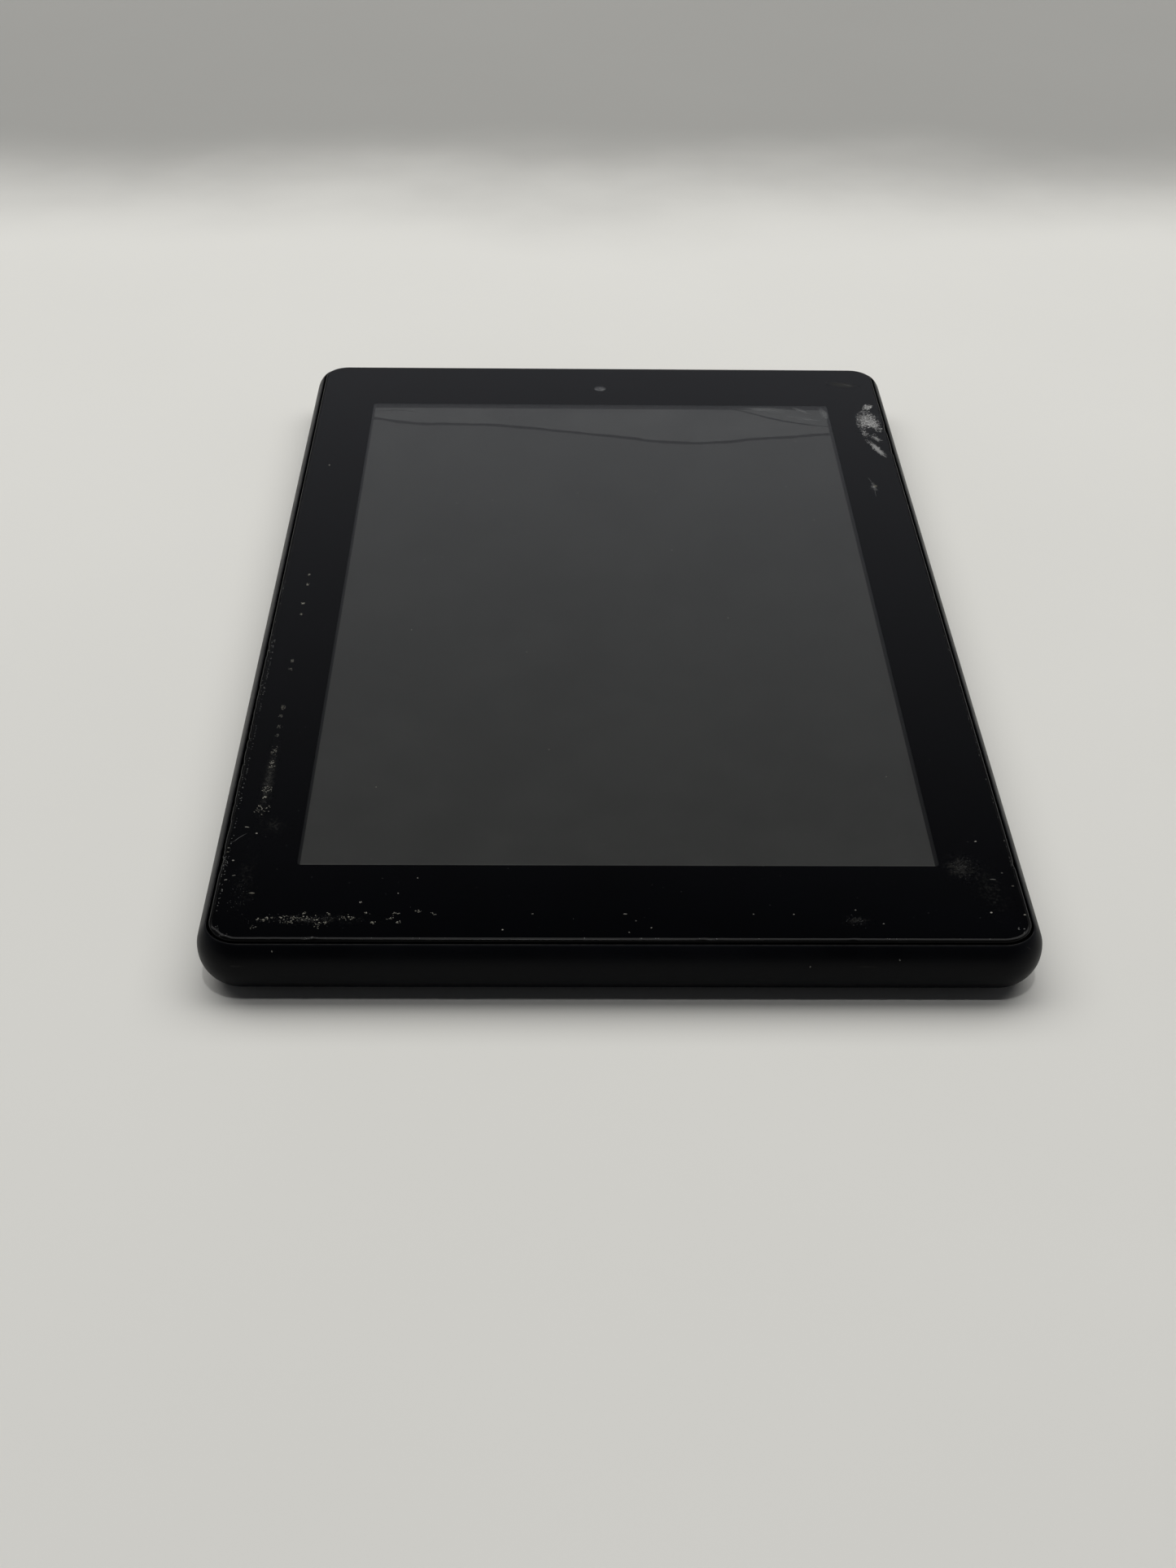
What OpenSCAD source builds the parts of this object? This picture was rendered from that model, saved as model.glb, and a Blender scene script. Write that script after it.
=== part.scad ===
// Seven-inch reading tablet, lying on its back, in millimetres.
// +X is its right side seen from the front, +Y the camera end and +Z out of the screen.

/* [Body] */
// Width across the two long sides
body_w = 115; // [113:0.5:117]
// Length from end to end
body_l = 192; // [190:0.5:195]
// Thickness from the back face to the front of the glass
body_t = 9.6; // [9.5:0.1:9.9]
// Corner radius seen from the front
corner_r = 6.2; // [6:0.1:7]
// Radius that rolls the sides into the back face
base_r = 5.6; // [5.4:0.1:5.7]
// Radius that draws the sides in towards the rim
shoulder_r = 4.6; // [4.4:0.1:5]
// Wall and floor thickness of the rear shell
wall = 1.5; // [1.4:0.1:1.5]

/* [Front] */
// Thickness of the cover glass
glass_t = 0.9; // [0.7:0.1:0.9]
// Width of the see-through window in the black border
window_w = 90.2; // [88:0.1:91]
// Length of the see-through window
window_l = 153.8; // [150:0.1:155]
// Gap all round between the glass and the shell
glass_gap = 0.35; // [0.2:0.05:0.5]
// How far the glass stands above the shell's rim
glass_proud = 0.45; // [0.3:0.05:0.5]

/* [Top end] */
// Headphone socket, distance from the centre line
jack_x = -42; // [-42:0.5:-40]
// Radius of the headphone socket's bore
jack_r = 1.8; // [1.75:0.01:1.85]
// Volume rocker, distance from the centre line
volume_x = -22; // [-24:0.5:-20]
// Charging socket, distance from the centre line
usb_x = 14; // [12:0.5:18]
// Power button, distance from the centre line
power_x = 33; // [31:0.5:34]
// Length of the volume rocker
rocker_l = 16.6; // [14:0.2:17]
// Length of the power button
power_l = 8.8; // [7:0.2:9]
// How far the buttons stand out of the end
button_proud = 0.35; // [0.2:0.05:0.4]

/* [Card door] */
// Middle of the memory-card door along the right side
door_y = 66; // [65.5:0.1:66]
// Length of the door
door_l = 14; // [14:0.1:14.5]
// Height of the door
door_h = 2.8; // [2.6:0.1:3]

/* [Battery] */
// Battery width
battery_w = 74; // [60:1:74]
// Battery length
battery_l = 112; // [90:1:112]

/* [Hidden] */
$fn = 64;

// Heights of the shell
side_flat = 0.3;
side_top = base_r + side_flat;
rim_z = body_t - glass_proud;
cavity_r = corner_r - wall;
cavity_w = body_w - 2*wall;
cavity_l = body_l - 2*wall;
end_y = body_l/2;
side_x = body_w/2;
inner_y = end_y - wall;
inner_x = side_x - wall;

// Cover glass and what is stuck to it
glass_z = body_t - glass_t;
glass_w = cavity_w - 2*glass_gap;
glass_l = cavity_l - 2*glass_gap;
glass_r = cavity_r - glass_gap;
print_t = 0.04;
print_z = glass_z - print_t;
window_r = 0.6;
tape_w = 1.6;
tape_inset = 0.8;
camera_y = 84.8;
camera_hole_r = 1.2;

// Mid frame
plate_z = 5.4;
lcd_z = 6;
frame_w = cavity_w - 1.2;
frame_l = cavity_l - 1.2;
frame_r = 4.1;
ledge_z = 7.9;
frame_top = 8.5;
plate_end = 81;
catch_z = 7;

// Display stack, one sheet on the next
lcd_w = 94.4;
lcd_top = 79.6;
lcd_bottom = -79.2;
pan_t = 0.2;
reflector_z = lcd_z + pan_t;
guide_z = reflector_z + 0.1;
guide_t = 0.65;
diffuser_z = guide_z + guide_t;
prism_z = diffuser_z + 0.08;
polariser_z = 7.3;
tft_z = polariser_z + 0.12;
filter_z = tft_z + 0.4;
front_film_z = filter_z + 0.4;
front_film_t = 0.14;
ledge_end = -84;

// Main board
board_z = 2.8;
board_t = 0.8;
parts_z = board_z + board_t;
board_front = 92.6;
board_back = 54;
screw_r = 0.75;
screw_places = [[-33, 57.2], [33, 57.2], [-30, 78.6], [20, 79], [37.5, 76]];

// Sockets and buttons in the ends and sides
jack_z = 5.1;
jack_nose_r = 2.3;
jack_front = 95.2;
jack_depth = 13.3;
usb_w = 7.5;
usb_h = 2.45;
usb_front = 95.3;
usb_back = 90.6;
mic_x = 3;
mic_z = 4.4;
mic_r = 0.45;
button_z = 5.9;
button_h = 2.2;
button_play = 0.1;
flange_y = 93.3;
flange_t = 0.7;
plunger_y = 93;
pivot_r = 0.35;
switch_spacing = 10;
slot_z = 4.4;
door_z = 4.7;
door_inner_x = side_x - 0.9;
hinge_r = 0.35;
hinge_x = door_inner_x + hinge_r;
hinge_y = door_y - door_l/2 + hinge_r;

// Battery, speaker and rear camera
cell_z = 1.7;
cell_t = 3.6;
cell_top = 46;
speaker_x = -45.2;
speaker_y = 26;
speaker_w = 12.5;
speaker_l = 36;
grille_r = 0.55;
grille_pitch = 1.9;
rear_cam = [45, 85];
rear_window_r = 3;

// ---------- shared shapes ----------

// A box between two opposite corners
module span(low, high) {
  translate(low) cube(high - low);
}

// A rounded rectangle with true round corners
module outline(w, l, r) {
  square([w - 2*r, l], center = true);
  square([w, l - 2*r], center = true);
  for (x = [-1, 1], y = [-1, 1])
    translate([x*(w/2 - r), y*(l/2 - r)]) circle(r);
}

module slab(w, l, r, z, t) {
  translate([0, 0, z]) linear_extrude(t) outline(w, l, r);
}

// A straight cylinder along Y
module rod_y(x, y0, y1, z, r) {
  translate([x, y0, z]) rotate([-90, 0, 0]) cylinder(h = y1 - y0, r = r);
}

// A slot with round ends, long in X, that runs along Y
module oval_y(x, y0, y1, z, length, height) {
  straight = (length - height)/2;
  for (side = [-1, 1]) rod_y(x + side*straight, y0, y1, z, height/2);
  span([x - straight, y0, z - height/2], [x + straight, y1, z + height/2]);
}

// Turns a half-section into a rounded block. The section starts at the corner's axis and reaches
// the outside at x = r.
module rolled(w, l, r, z, t) {
  for (x = [0, 1], y = [0, 1])
    mirror([x, 0, 0]) mirror([0, y, 0])
      translate([w/2 - r, l/2 - r, 0]) rotate_extrude(angle = 90) children();
  for (side = [0, 180]) rotate(side) {
    translate([w/2 - r, 0, 0])
      rotate([90, 0, 0]) linear_extrude(l - 2*r, center = true) children();
    rotate(90) translate([l/2 - r, 0, 0])
      rotate([90, 0, 0]) linear_extrude(w - 2*r, center = true) children();
  }
  translate([r - w/2, r - l/2, z]) cube([w - 2*r, l - 2*r, t]);
}

// ---------- rear shell ----------

module outer_section() {
  intersection() {
    translate([corner_r - base_r, base_r]) circle(base_r);
    square([corner_r, base_r]);
  }
  square([corner_r - base_r, base_r]);
  translate([0, base_r]) square([corner_r, side_flat]);
  translate([0, side_top]) {
    intersection() {
      translate([corner_r - shoulder_r, 0]) circle(shoulder_r);
      square([corner_r, rim_z - side_top]);
    }
    square([corner_r - shoulder_r, rim_z - side_top]);
  }
}

module cavity_section() {
  roll = base_r - wall;
  intersection() {
    translate([cavity_r - roll, base_r]) circle(roll);
    translate([0, wall]) square([cavity_r, roll]);
  }
  translate([0, wall]) square([cavity_r - roll, roll]);
  translate([0, base_r]) square([cavity_r, body_t - base_r]);
}

module outer_body() {
  rolled(body_w, body_l, corner_r, 0, rim_z) outer_section();
}

module cavity() {
  rolled(cavity_w, cavity_l, cavity_r, wall, body_t - wall) cavity_section();
}

// Where the catches of the mid frame snap into the shell, as [x, y, direction that they point]
catch_places = concat(
  [for (y = [-66, -22, 22]) [inner_x, y, 0]],
  [for (y = [-66, -22, 22]) [-inner_x, y, 180]],
  [for (x = [-30, 30]) [x, -inner_y, -90]]
);

// The catches, or with some play the pockets that they snap into
module catches(play) {
  root = 0.8;
  bite = 0.35;
  half_l = 2;
  half_h = 0.4;
  for (p = catch_places) translate([p[0], p[1], catch_z]) rotate(p[2])
    span([-root, -half_l - play, -half_h - play], [bite + play, half_l + play, half_h + play]);
}

module speaker_holes(z, t) {
  for (i = [-2:1], j = [-6:6])
    translate([speaker_x + (i + 0.5)*grille_pitch, speaker_y + j*grille_pitch, z])
      cylinder(h = t, r = grille_r, $fn = 24);
}

module end_openings() {
  rod_y(jack_x, inner_y - 2, end_y + 1, jack_z, jack_nose_r + 0.1);
  rod_y(mic_x, inner_y - 2, end_y + 1, mic_z, mic_r);
  oval_y(usb_x, inner_y - 2, end_y + 1, parts_z + usb_h/2, usb_w + 1, usb_h + 0.9);
  oval_y(power_x, inner_y - 2, end_y + 1, button_z, power_l + 2*button_play, button_h + 2*button_play);
  oval_y(volume_x, inner_y - 2, end_y + 1, button_z, rocker_l + 4*button_play, button_h + 2*button_play);
}

module card_opening() {
  recess_x = door_inner_x - button_play;
  low_z = door_z - door_h/2 - button_play;
  high_z = door_z + door_h/2 + button_play;
  span([recess_x, door_y - door_l/2 - 0.3, low_z], [side_x + 1, door_y + door_l/2 + button_play, high_z]);
  translate([side_x + 0.6, door_y + door_l/2 + 0.5, low_z]) cylinder(h = high_z - low_z, r = 1.3);
  span([inner_x - 1, door_y - 5.8, slot_z - 0.5], [side_x, door_y + 5.8, slot_z + 0.5]);
}

module floor_ribs() {
  for (y = [-88, -80, -72]) span([-46, y - 0.4, wall], [46, y + 0.4, 3.6]);
  for (x = [-40:16:40]) span([x - 0.4, -92, wall], [x + 0.4, -68.5, 3]);
}

module rear_shell() {
  color("#151516") {
    difference() {
      outer_body();
      cavity();
      end_openings();
      card_opening();
      catches(0.1);
      speaker_holes(-1, wall + 2);
      translate([rear_cam[0], rear_cam[1], -1]) {
        cylinder(h = wall + 2, r = 2);
        cylinder(h = 1.6, r = rear_window_r);
      }
    }
    floor_ribs();
  }
}

// ---------- mid frame ----------

module mid_frame() {
  lip = 1.4;
  ledge = 4.9;
  window_wall = 0.8;
  boss_r = 1.9;
  top_y = frame_l/2;
  color("#2b2c2e") {
    difference() {
      union() {
        slab(frame_w, frame_l, frame_r, plate_z, lcd_z - plate_z);
        difference() {
          slab(frame_w, frame_l, frame_r, lcd_z, frame_top - lcd_z);
          slab(frame_w - 2*lip, frame_l - 2*lip, frame_r - lip, lcd_z, ledge_z - lcd_z);
          slab(frame_w - 2*ledge, frame_l - 2*ledge, 1, ledge_z, frame_top - ledge_z);
        }
      }
      span([-51, plate_end, plate_z - 1], [51, top_y + 1, ledge_z]);
      span([-12, -86, plate_z - 1], [12, -84.6, lcd_z + 1]);
      for (x = [-22, 22], y = [-40, 0, 40])
        translate([x, y, plate_z - 1]) linear_extrude(3) outline(18, 24, 3);
    }
    difference() {
      span([-48.6, -82.6, lcd_z], [48.6, 80.8, ledge_z - 0.1]);
      span([-47.8, -80.3, lcd_z], [47.8, 80.1, ledge_z]);
      span([-47.8, -84, lcd_z], [47.8, -79, ledge_z]);
    }
    for (p = screw_places) difference() {
      translate([p[0], p[1], parts_z]) cylinder(h = plate_z - parts_z, r = boss_r, $fn = 32);
      translate([p[0], p[1], parts_z]) cylinder(h = plate_z - parts_z, r = screw_r + 0.03, $fn = 32);
    }
    catches(0);
  }
}

// ---------- cover glass ----------

module cover_glass() {
  color("#20242a", 0.5) slab(glass_w, glass_l, glass_r, glass_z, glass_t);
}

module glass_border_print() {
  color("#050506") difference() {
    slab(glass_w - 0.2, glass_l - 0.2, glass_r - 0.1, print_z, print_t);
    slab(window_w, window_l, window_r, print_z, print_t);
    translate([0, camera_y, print_z]) cylinder(h = print_t, r = camera_hole_r);
  }
}

module glass_adhesive() {
  outer_w = glass_w - 2*tape_inset;
  outer_l = glass_l - 2*tape_inset;
  outer_r = glass_r - tape_inset;
  color("#303030") difference() {
    slab(outer_w, outer_l, outer_r, frame_top, print_z - frame_top);
    slab(outer_w - 2*tape_w, outer_l - 2*tape_w, outer_r - tape_w, frame_top, print_z - frame_top);
  }
}

// ---------- display ----------

// One sheet of the display, kept inside the glass by an inset
module sheet(inset, z, t, low = lcd_bottom) {
  span([inset - lcd_w/2, low + inset, z], [lcd_w/2 - inset, lcd_top - inset, z + t]);
}

module front_polariser() {
  color("#34383c") sheet(0.6, front_film_z, front_film_t);
}

module filter_glass() {
  color("#2c3236") sheet(0, filter_z, front_film_z - filter_z);
}

module tft_glass() {
  color("#50585c") sheet(0, tft_z, filter_z - tft_z, ledge_end);
}

module rear_polariser() {
  color("#3a3f44") sheet(0.6, polariser_z, tft_z - polariser_z);
}

module driver_chip() {
  color("#8c9096") span([-9, -82.6, filter_z], [9, -81.2, filter_z + 0.3]);
}

module prism_film() {
  color("#d9dde0") sheet(1.4, prism_z, 0.12);
}

module diffuser_film() {
  color("#f2f2ee") sheet(1.4, diffuser_z, prism_z - diffuser_z);
}

module light_guide() {
  color("#d8ecf2") span([-45.6, -77, guide_z], [45.6, 78, guide_z + guide_t]);
}

module reflector_sheet() {
  color("#e8e8ea") span([-45.8, -77.7, reflector_z], [45.8, 78.1, guide_z]);
}

module led_strip() {
  led_pitch = 4.8;
  color("#f0c846") {
    span([-44, -78.2, guide_z], [44, -77.1, guide_z + 0.08]);
    for (i = [-9:9])
      span([i*led_pitch - 1.4, -78.1, guide_z + 0.08], [i*led_pitch + 1.4, -77.3, guide_z + 0.55]);
  }
}

module backlight_frame() {
  color("#eeeeea") difference() {
    span([-47.2, -79.5, reflector_z], [47.2, 79.7, polariser_z]);
    span([-45.9, -78.3, reflector_z], [45.9, 78.3, polariser_z]);
  }
}

module backlight_pan() {
  color("#b9bcc0") difference() {
    span([-47.5, -79.8, lcd_z], [47.5, 80, polariser_z - 0.1]);
    span([-47.25, -79.55, lcd_z + pan_t], [47.25, 79.75, polariser_z]);
  }
}

module display_flex() {
  foil = 0.15;
  run_z = plate_z - 0.2;
  color("#b06a1c") {
    span([-10, -85, filter_z], [10, -83, filter_z + foil]);
    span([-10, -85, run_z], [10, -85 + foil, filter_z]);
    span([-10, -85, run_z], [50, -75, run_z + foil]);
    span([40, -75, run_z], [50, 57.4, run_z + foil]);
    span([40, 57.4 - foil, 4.2], [50, 57.4, run_z]);
    span([40, 56.6, 4.2], [50, 57.4 - foil, 4.2 + foil]);
  }
}

module touch_flex() {
  foil = 0.12;
  color("#b06a1c") {
    span([24, 82.6, print_z - foil], [36, 89, print_z]);
    span([24, 82.6, 4.3], [36, 82.6 + foil, print_z - foil]);
    span([26, 81.6, 4.3], [34, 82.6, 4.3 + foil]);
  }
}

module touch_chip() {
  color("#1c1d20") span([27, 84.4, print_z - 0.72], [33, 88.4, print_z - 0.12]);
}

// ---------- main board ----------

module main_board() {
  front = board_front;
  color("#14532f") difference() {
    span([-53, board_back, board_z], [53, front, board_z + board_t]);
    span([jack_x - 3.4, 81.2, board_z - 1], [jack_x + 3.4, front + 1, parts_z + 1]);
    span([rear_cam[0] - 4.4, rear_cam[1] - 4.4, board_z - 1], [54, front + 1, parts_z + 1]);
    span([-54, 90, board_z - 1], [jack_x - 3, front + 1, parts_z + 1]);
    for (p = screw_places) translate([p[0], p[1], board_z - 1]) cylinder(h = 3, r = 0.9, $fn = 32);
  }
}

// A chip standing on the board, by its middle
module chip(x, y, w, l, h, z = parts_z) {
  span([x - w/2, y - l/2, z], [x + w/2, y + l/2, z + h]);
}

module processor_chip() {
  color("#1d1e21") chip(-6, 70, 12, 12, 1);
}

module memory_chip() {
  color("#26272b") chip(9, 70, 9, 13, 0.9);
}

module storage_chip() {
  color("#222327") chip(27, 69, 11.5, 13, 1);
}

module power_chip() {
  color("#1b1c1f") chip(-26, 69, 6, 6, 0.8);
}

module wireless_chip() {
  color("#232428") chip(-42, 66, 7, 7, 0.8);
}

// A pressed tin lid over some chips
module shield(low, high) {
  tin = 0.2;
  color("#c4c6c8") difference() {
    span(low, high);
    span(low + [tin, tin, -1], high - [tin, tin, tin]);
  }
}

module processor_shield() {
  shield([-14, 61, parts_z], [15.5, 78, 5]);
}

module wireless_shield() {
  shield([-48, 60, parts_z], [-36, 73, 5]);
}

module thermal_pad() {
  color("#8fa7b5") span([-12, 63, 5], [13, 76, plate_z]);
}

module board_parts() {
  color("#a58f6a") {
    for (i = [0:4], j = [0:3]) chip(-31.5 + i*2.6, 60.4 + j*1.3, 1, 0.5, 0.5);
    for (i = [0:4], j = [0:2]) chip(-17 + i*3, 81.2 + j*2.2, 1.6, 0.8, 0.8);
    for (i = [0:6]) chip(22 + i*1.8, 87.5, 1, 0.5, 0.5);
    for (i = [0:7]) chip(-50, 60 + i*2, 0.6, 1.2, 0.6);
  }
  color("#3a3b3e") for (x = [-31, -25.6, -20.2]) chip(x, 74.6, 4, 4, 1.4);
}

module board_connectors() {
  color("#e6ddc6") {
    span([-3.5, 54.4, parts_z], [3.5, 57, 4.8]);
    span([39.5, 54.4, parts_z], [50.5, 56.6, 4.8]);
    span([25.5, 79.4, parts_z], [34.5, 81.6, 4.8]);
  }
}

module board_screws() {
  head_r = 1.3;
  color("#9a9ca0") for (p = screw_places) translate([p[0], p[1], 0]) difference() {
    union() {
      translate([0, 0, 2.2]) cylinder(h = board_z - 2.2, r = head_r, $fn = 32);
      translate([0, 0, board_z]) cylinder(h = 2.4, r = screw_r, $fn = 32);
    }
    for (turn = [0, 90]) rotate(turn) translate([-0.8, -0.15, 2]) cube([1.6, 0.3, 0.5]);
  }
}

// ---------- sockets ----------

module usb_outline(grow) {
  half = usb_w/2 + grow;
  low = -grow;
  high = usb_h + grow;
  bevel = 0.8;
  polygon([[-half, high], [half, high], [half, low + bevel], [half - bevel, low], [bevel - half, low],
           [-half, low + bevel]]);
}

module usb_socket() {
  tin = 0.3;
  color("#b4b6ba") difference() {
    translate([usb_x, usb_front, parts_z]) rotate([90, 0, 0]) linear_extrude(usb_front - usb_back) usb_outline(0);
    translate([usb_x, usb_front + 1, parts_z]) rotate([90, 0, 0])
      linear_extrude(usb_front - usb_back + 0.6) usb_outline(-tin);
  }
}

module usb_tongue() {
  color("#17181a") span([usb_x - 1.9, usb_back + 0.4, 5], [usb_x + 1.9, usb_front - 0.5, 5.5]);
  color("#c9a548") for (i = [-2:2])
    span([usb_x + i*0.65 - 0.15, usb_back + 0.8, 4.94], [usb_x + i*0.65 + 0.15, usb_front - 0.8, 5]);
}

module headphone_socket() {
  half = 3.1;
  rear = jack_front - jack_depth - 0.3;
  color("#191a1c") difference() {
    union() {
      span([jack_x - half, rear, jack_z - 2.4], [jack_x + half, 93, jack_z + 2.4]);
      rod_y(jack_x, 93, jack_front, jack_z, jack_nose_r);
    }
    rod_y(jack_x, jack_front - jack_depth, jack_front + 1, jack_z, jack_r);
  }
}

module headphone_tails() {
  color("#c9a548") for (side = [-1, 1], y = [83.5, 86.5, 89.5])
    span([jack_x + side*3.1 + min(0, side*2), y - 0.4, parts_z], [jack_x + side*3.1 + max(0, side*2), y + 0.4, 3.9]);
}

module card_socket() {
  tin = 0.2;
  mouth = [55.2, door_y + 7, 5];
  color("#b9bcc0") difference() {
    span([40.5, door_y - 7, parts_z], mouth);
    span([43, door_y - 5.6, slot_z - 0.45], mouth + [1, -1.4, -0.15]);
  }
}

module microphone() {
  color("#c8b273") chip(mic_x, 91.5, 3, 2, 1);
}

module microphone_boot() {
  color("#1e1e20") difference() {
    span([mic_x - 1.6, board_front, parts_z + 0.1], [mic_x + 1.6, 93.8, parts_z + 1.3]);
    rod_y(mic_x, board_front - 1, 95, mic_z, mic_r, $fn = 32);
  }
}

// ---------- buttons ----------

module side_switch(x) {
  color("#d7d9db") span([x - 2.2, 90.6, parts_z], [x + 2.2, board_front, button_z + 1.1]);
  color("#3c3d40") span([x - 0.8, board_front, button_z - 0.5], [x + 0.8, plunger_y, button_z + 0.5]);
}

module power_switch() {
  side_switch(power_x);
}

module volume_switches() {
  for (side = [-1, 1]) side_switch(volume_x + side*switch_spacing/2);
}

// A key with round ends that stands out through the shell, and the flange that keeps it in
module key(x, length) {
  oval_y(x, flange_y, end_y + button_proud, button_z, length, button_h);
  span([x - length/2 - 0.8, flange_y, button_z - 1.5], [x + length/2 + 0.8, flange_y + flange_t, button_z + 1.5]);
}

module power_button() {
  color("#111112") key(power_x, power_l);
}

// The rocker turns on a round pivot, whose two ends stand out of the flange
module volume_rocker() {
  pivot_low = 4;
  pivot_high = 7.8;
  color("#111112") {
    key(volume_x, rocker_l);
    translate([volume_x, flange_y + flange_t/2, pivot_low]) cylinder(h = pivot_high - pivot_low, r = pivot_r);
  }
}

// ---------- card door ----------

module card_door() {
  low_z = door_z - door_h/2;
  color("#131314") intersection() {
    outer_body();
    union() {
      translate([hinge_x, hinge_y, low_z]) cylinder(h = door_h, r = hinge_r, $fn = 32);
      span([door_inner_x, hinge_y, low_z], [side_x + 1, door_y + door_l/2, low_z + door_h]);
    }
  }
}

// ---------- battery ----------

module battery_cell() {
  color("#b8bbbe") {
    span([-battery_w/2, cell_top - battery_l, cell_z], [battery_w/2, cell_top, cell_z + cell_t]);
  }
}

module battery_tape() {
  color("#d8d2b8") span([8 - battery_w/2, cell_top - battery_l + 6, cell_z + cell_t], [battery_w/2 - 8, cell_top - 6, plate_z]);
}

module battery_board() {
  color("#c08a2a") span([-16, cell_top, 3.6], [16, cell_top + 3, 4.4]);
  color("#26272a") for (x = [-11, -7, 7, 11]) span([x - 1, cell_top + 0.6, 3], [x + 1, cell_top + 2.2, 3.6]);
}

module battery_lead() {
  wires = [["#b01818", -1.6], ["#d0d0d0", 0], ["#101010", 1.6]];
  for (w = wires) color(w[0]) rod_y(w[1], cell_top + 3, 54.4, 4.1, 0.5);
}

// ---------- speaker ----------

module speaker_box() {
  low = [speaker_x - speaker_w/2, speaker_y - speaker_l/2, 1.65];
  high = [speaker_x + speaker_w/2, speaker_y + speaker_l/2, 5.2];
  skin = 0.6;
  color("#1d1d1f") difference() {
    span(low, high);
    span(low + [skin, skin, skin], high - [skin, skin, skin]);
    span([speaker_x - 4.2, speaker_y - 13, 1], [speaker_x + 4.2, speaker_y + 13, 3]);
  }
}

module speaker_cone() {
  color("#3a3c40") {
    span([speaker_x - 5, speaker_y - 14, 2.25], [speaker_x + 5, speaker_y + 14, 3]);
    span([speaker_x - 3.5, speaker_y - 9, 3], [speaker_x + 3.5, speaker_y + 9, 4.6]);
  }
}

module speaker_mesh() {
  color("#2a2b2d") span([speaker_x - 4.6, speaker_y - 13.4, wall], [speaker_x + 4.6, speaker_y + 13.4, 1.6]);
}

module speaker_lead() {
  wires = [["#b01818", -1.2], ["#101010", 1.2]];
  for (w = wires) color(w[0]) rod_y(speaker_x + w[1], speaker_y + speaker_l/2, 57, parts_z + 0.4, 0.4);
}

// ---------- cameras ----------

module front_camera() {
  color("#1a1b1e") {
    span([-2.8, camera_y - 2.8, 5.6], [2.8, camera_y + 2.8, 7.6]);
    translate([0, camera_y, 7.6]) cylinder(h = 0.7, r = 1.9);
  }
  color("#3b3f4a") translate([0, camera_y, 8.3]) cylinder(h = 0.2, r = 1.1);
}

module front_camera_socket() {
  color("#2c2d30") span([-2.5, camera_y - 2.5, parts_z], [2.5, camera_y + 2.5, 5.6]);
}

module rear_camera() {
  color("#1a1b1e") translate([rear_cam[0], rear_cam[1], 0]) {
    span([-4, -4, 2.4], [4, 4, 5.2]);
    translate([0, 0, wall + 0.1]) cylinder(h = 0.9, r = 3.2);
  }
}

module rear_camera_window() {
  color("#2a2e33", 0.7) translate([rear_cam[0], rear_cam[1], 0.1]) cylinder(h = 0.5, r = rear_window_r - 0.05);
}

// ---------- antenna ----------

module wireless_antenna() {
  color("#b87a28") {
    span([-53, -58, plate_z - 0.12], [-47, -16, plate_z]);
    span([-52.4, -17.4, 4.9], [-49.6, -16, plate_z - 0.12]);
  }
}

module antenna_cable() {
  run_x = -54.2;
  axis_z = 4.4;
  r = 0.4;
  bend = 1.6;
  color("#2a2b2e") {
    rod_y(run_x, -15.1, 56.4, axis_z, r);
    translate([run_x + bend, 56.4, axis_z]) rotate([0, 0, 90]) rotate_extrude(angle = 90) translate([bend, 0]) circle(r);
    translate([run_x + bend, -15.1, axis_z]) rotate([0, 0, 180]) rotate_extrude(angle = 90) translate([bend, 0]) circle(r);
    translate([run_x + bend, 56.4 + bend, axis_z]) rotate([0, 90, 0]) cylinder(h = 1.6, r = r);
    translate([run_x + bend, -15.1 - bend, axis_z]) rotate([0, 90, 0]) cylinder(h = 1.6, r = r);
  }
  color("#c9a548") span([-51.6, 57, parts_z], [-49.6, 59, 4.9]);
}

rear_shell();
mid_frame();
cover_glass();
glass_border_print();
glass_adhesive();
front_polariser();
filter_glass();
tft_glass();
rear_polariser();
driver_chip();
prism_film();
diffuser_film();
light_guide();
reflector_sheet();
led_strip();
backlight_frame();
backlight_pan();
display_flex();
touch_flex();
touch_chip();
main_board();
processor_chip();
memory_chip();
storage_chip();
power_chip();
wireless_chip();
processor_shield();
wireless_shield();
thermal_pad();
board_parts();
board_connectors();
board_screws();
usb_socket();
usb_tongue();
headphone_socket();
headphone_tails();
card_socket();
microphone();
microphone_boot();
power_switch();
volume_switches();
battery_cell();
battery_tape();
battery_board();
battery_lead();
speaker_box();
speaker_cone();
speaker_mesh();
speaker_lead();
front_camera();
front_camera_socket();
rear_camera();
rear_camera_window();
wireless_antenna();
antenna_cable();
power_button();
volume_rocker();
card_door();
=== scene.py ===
import math
import random

import bmesh
import bpy
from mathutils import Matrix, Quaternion, Vector, noise


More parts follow.
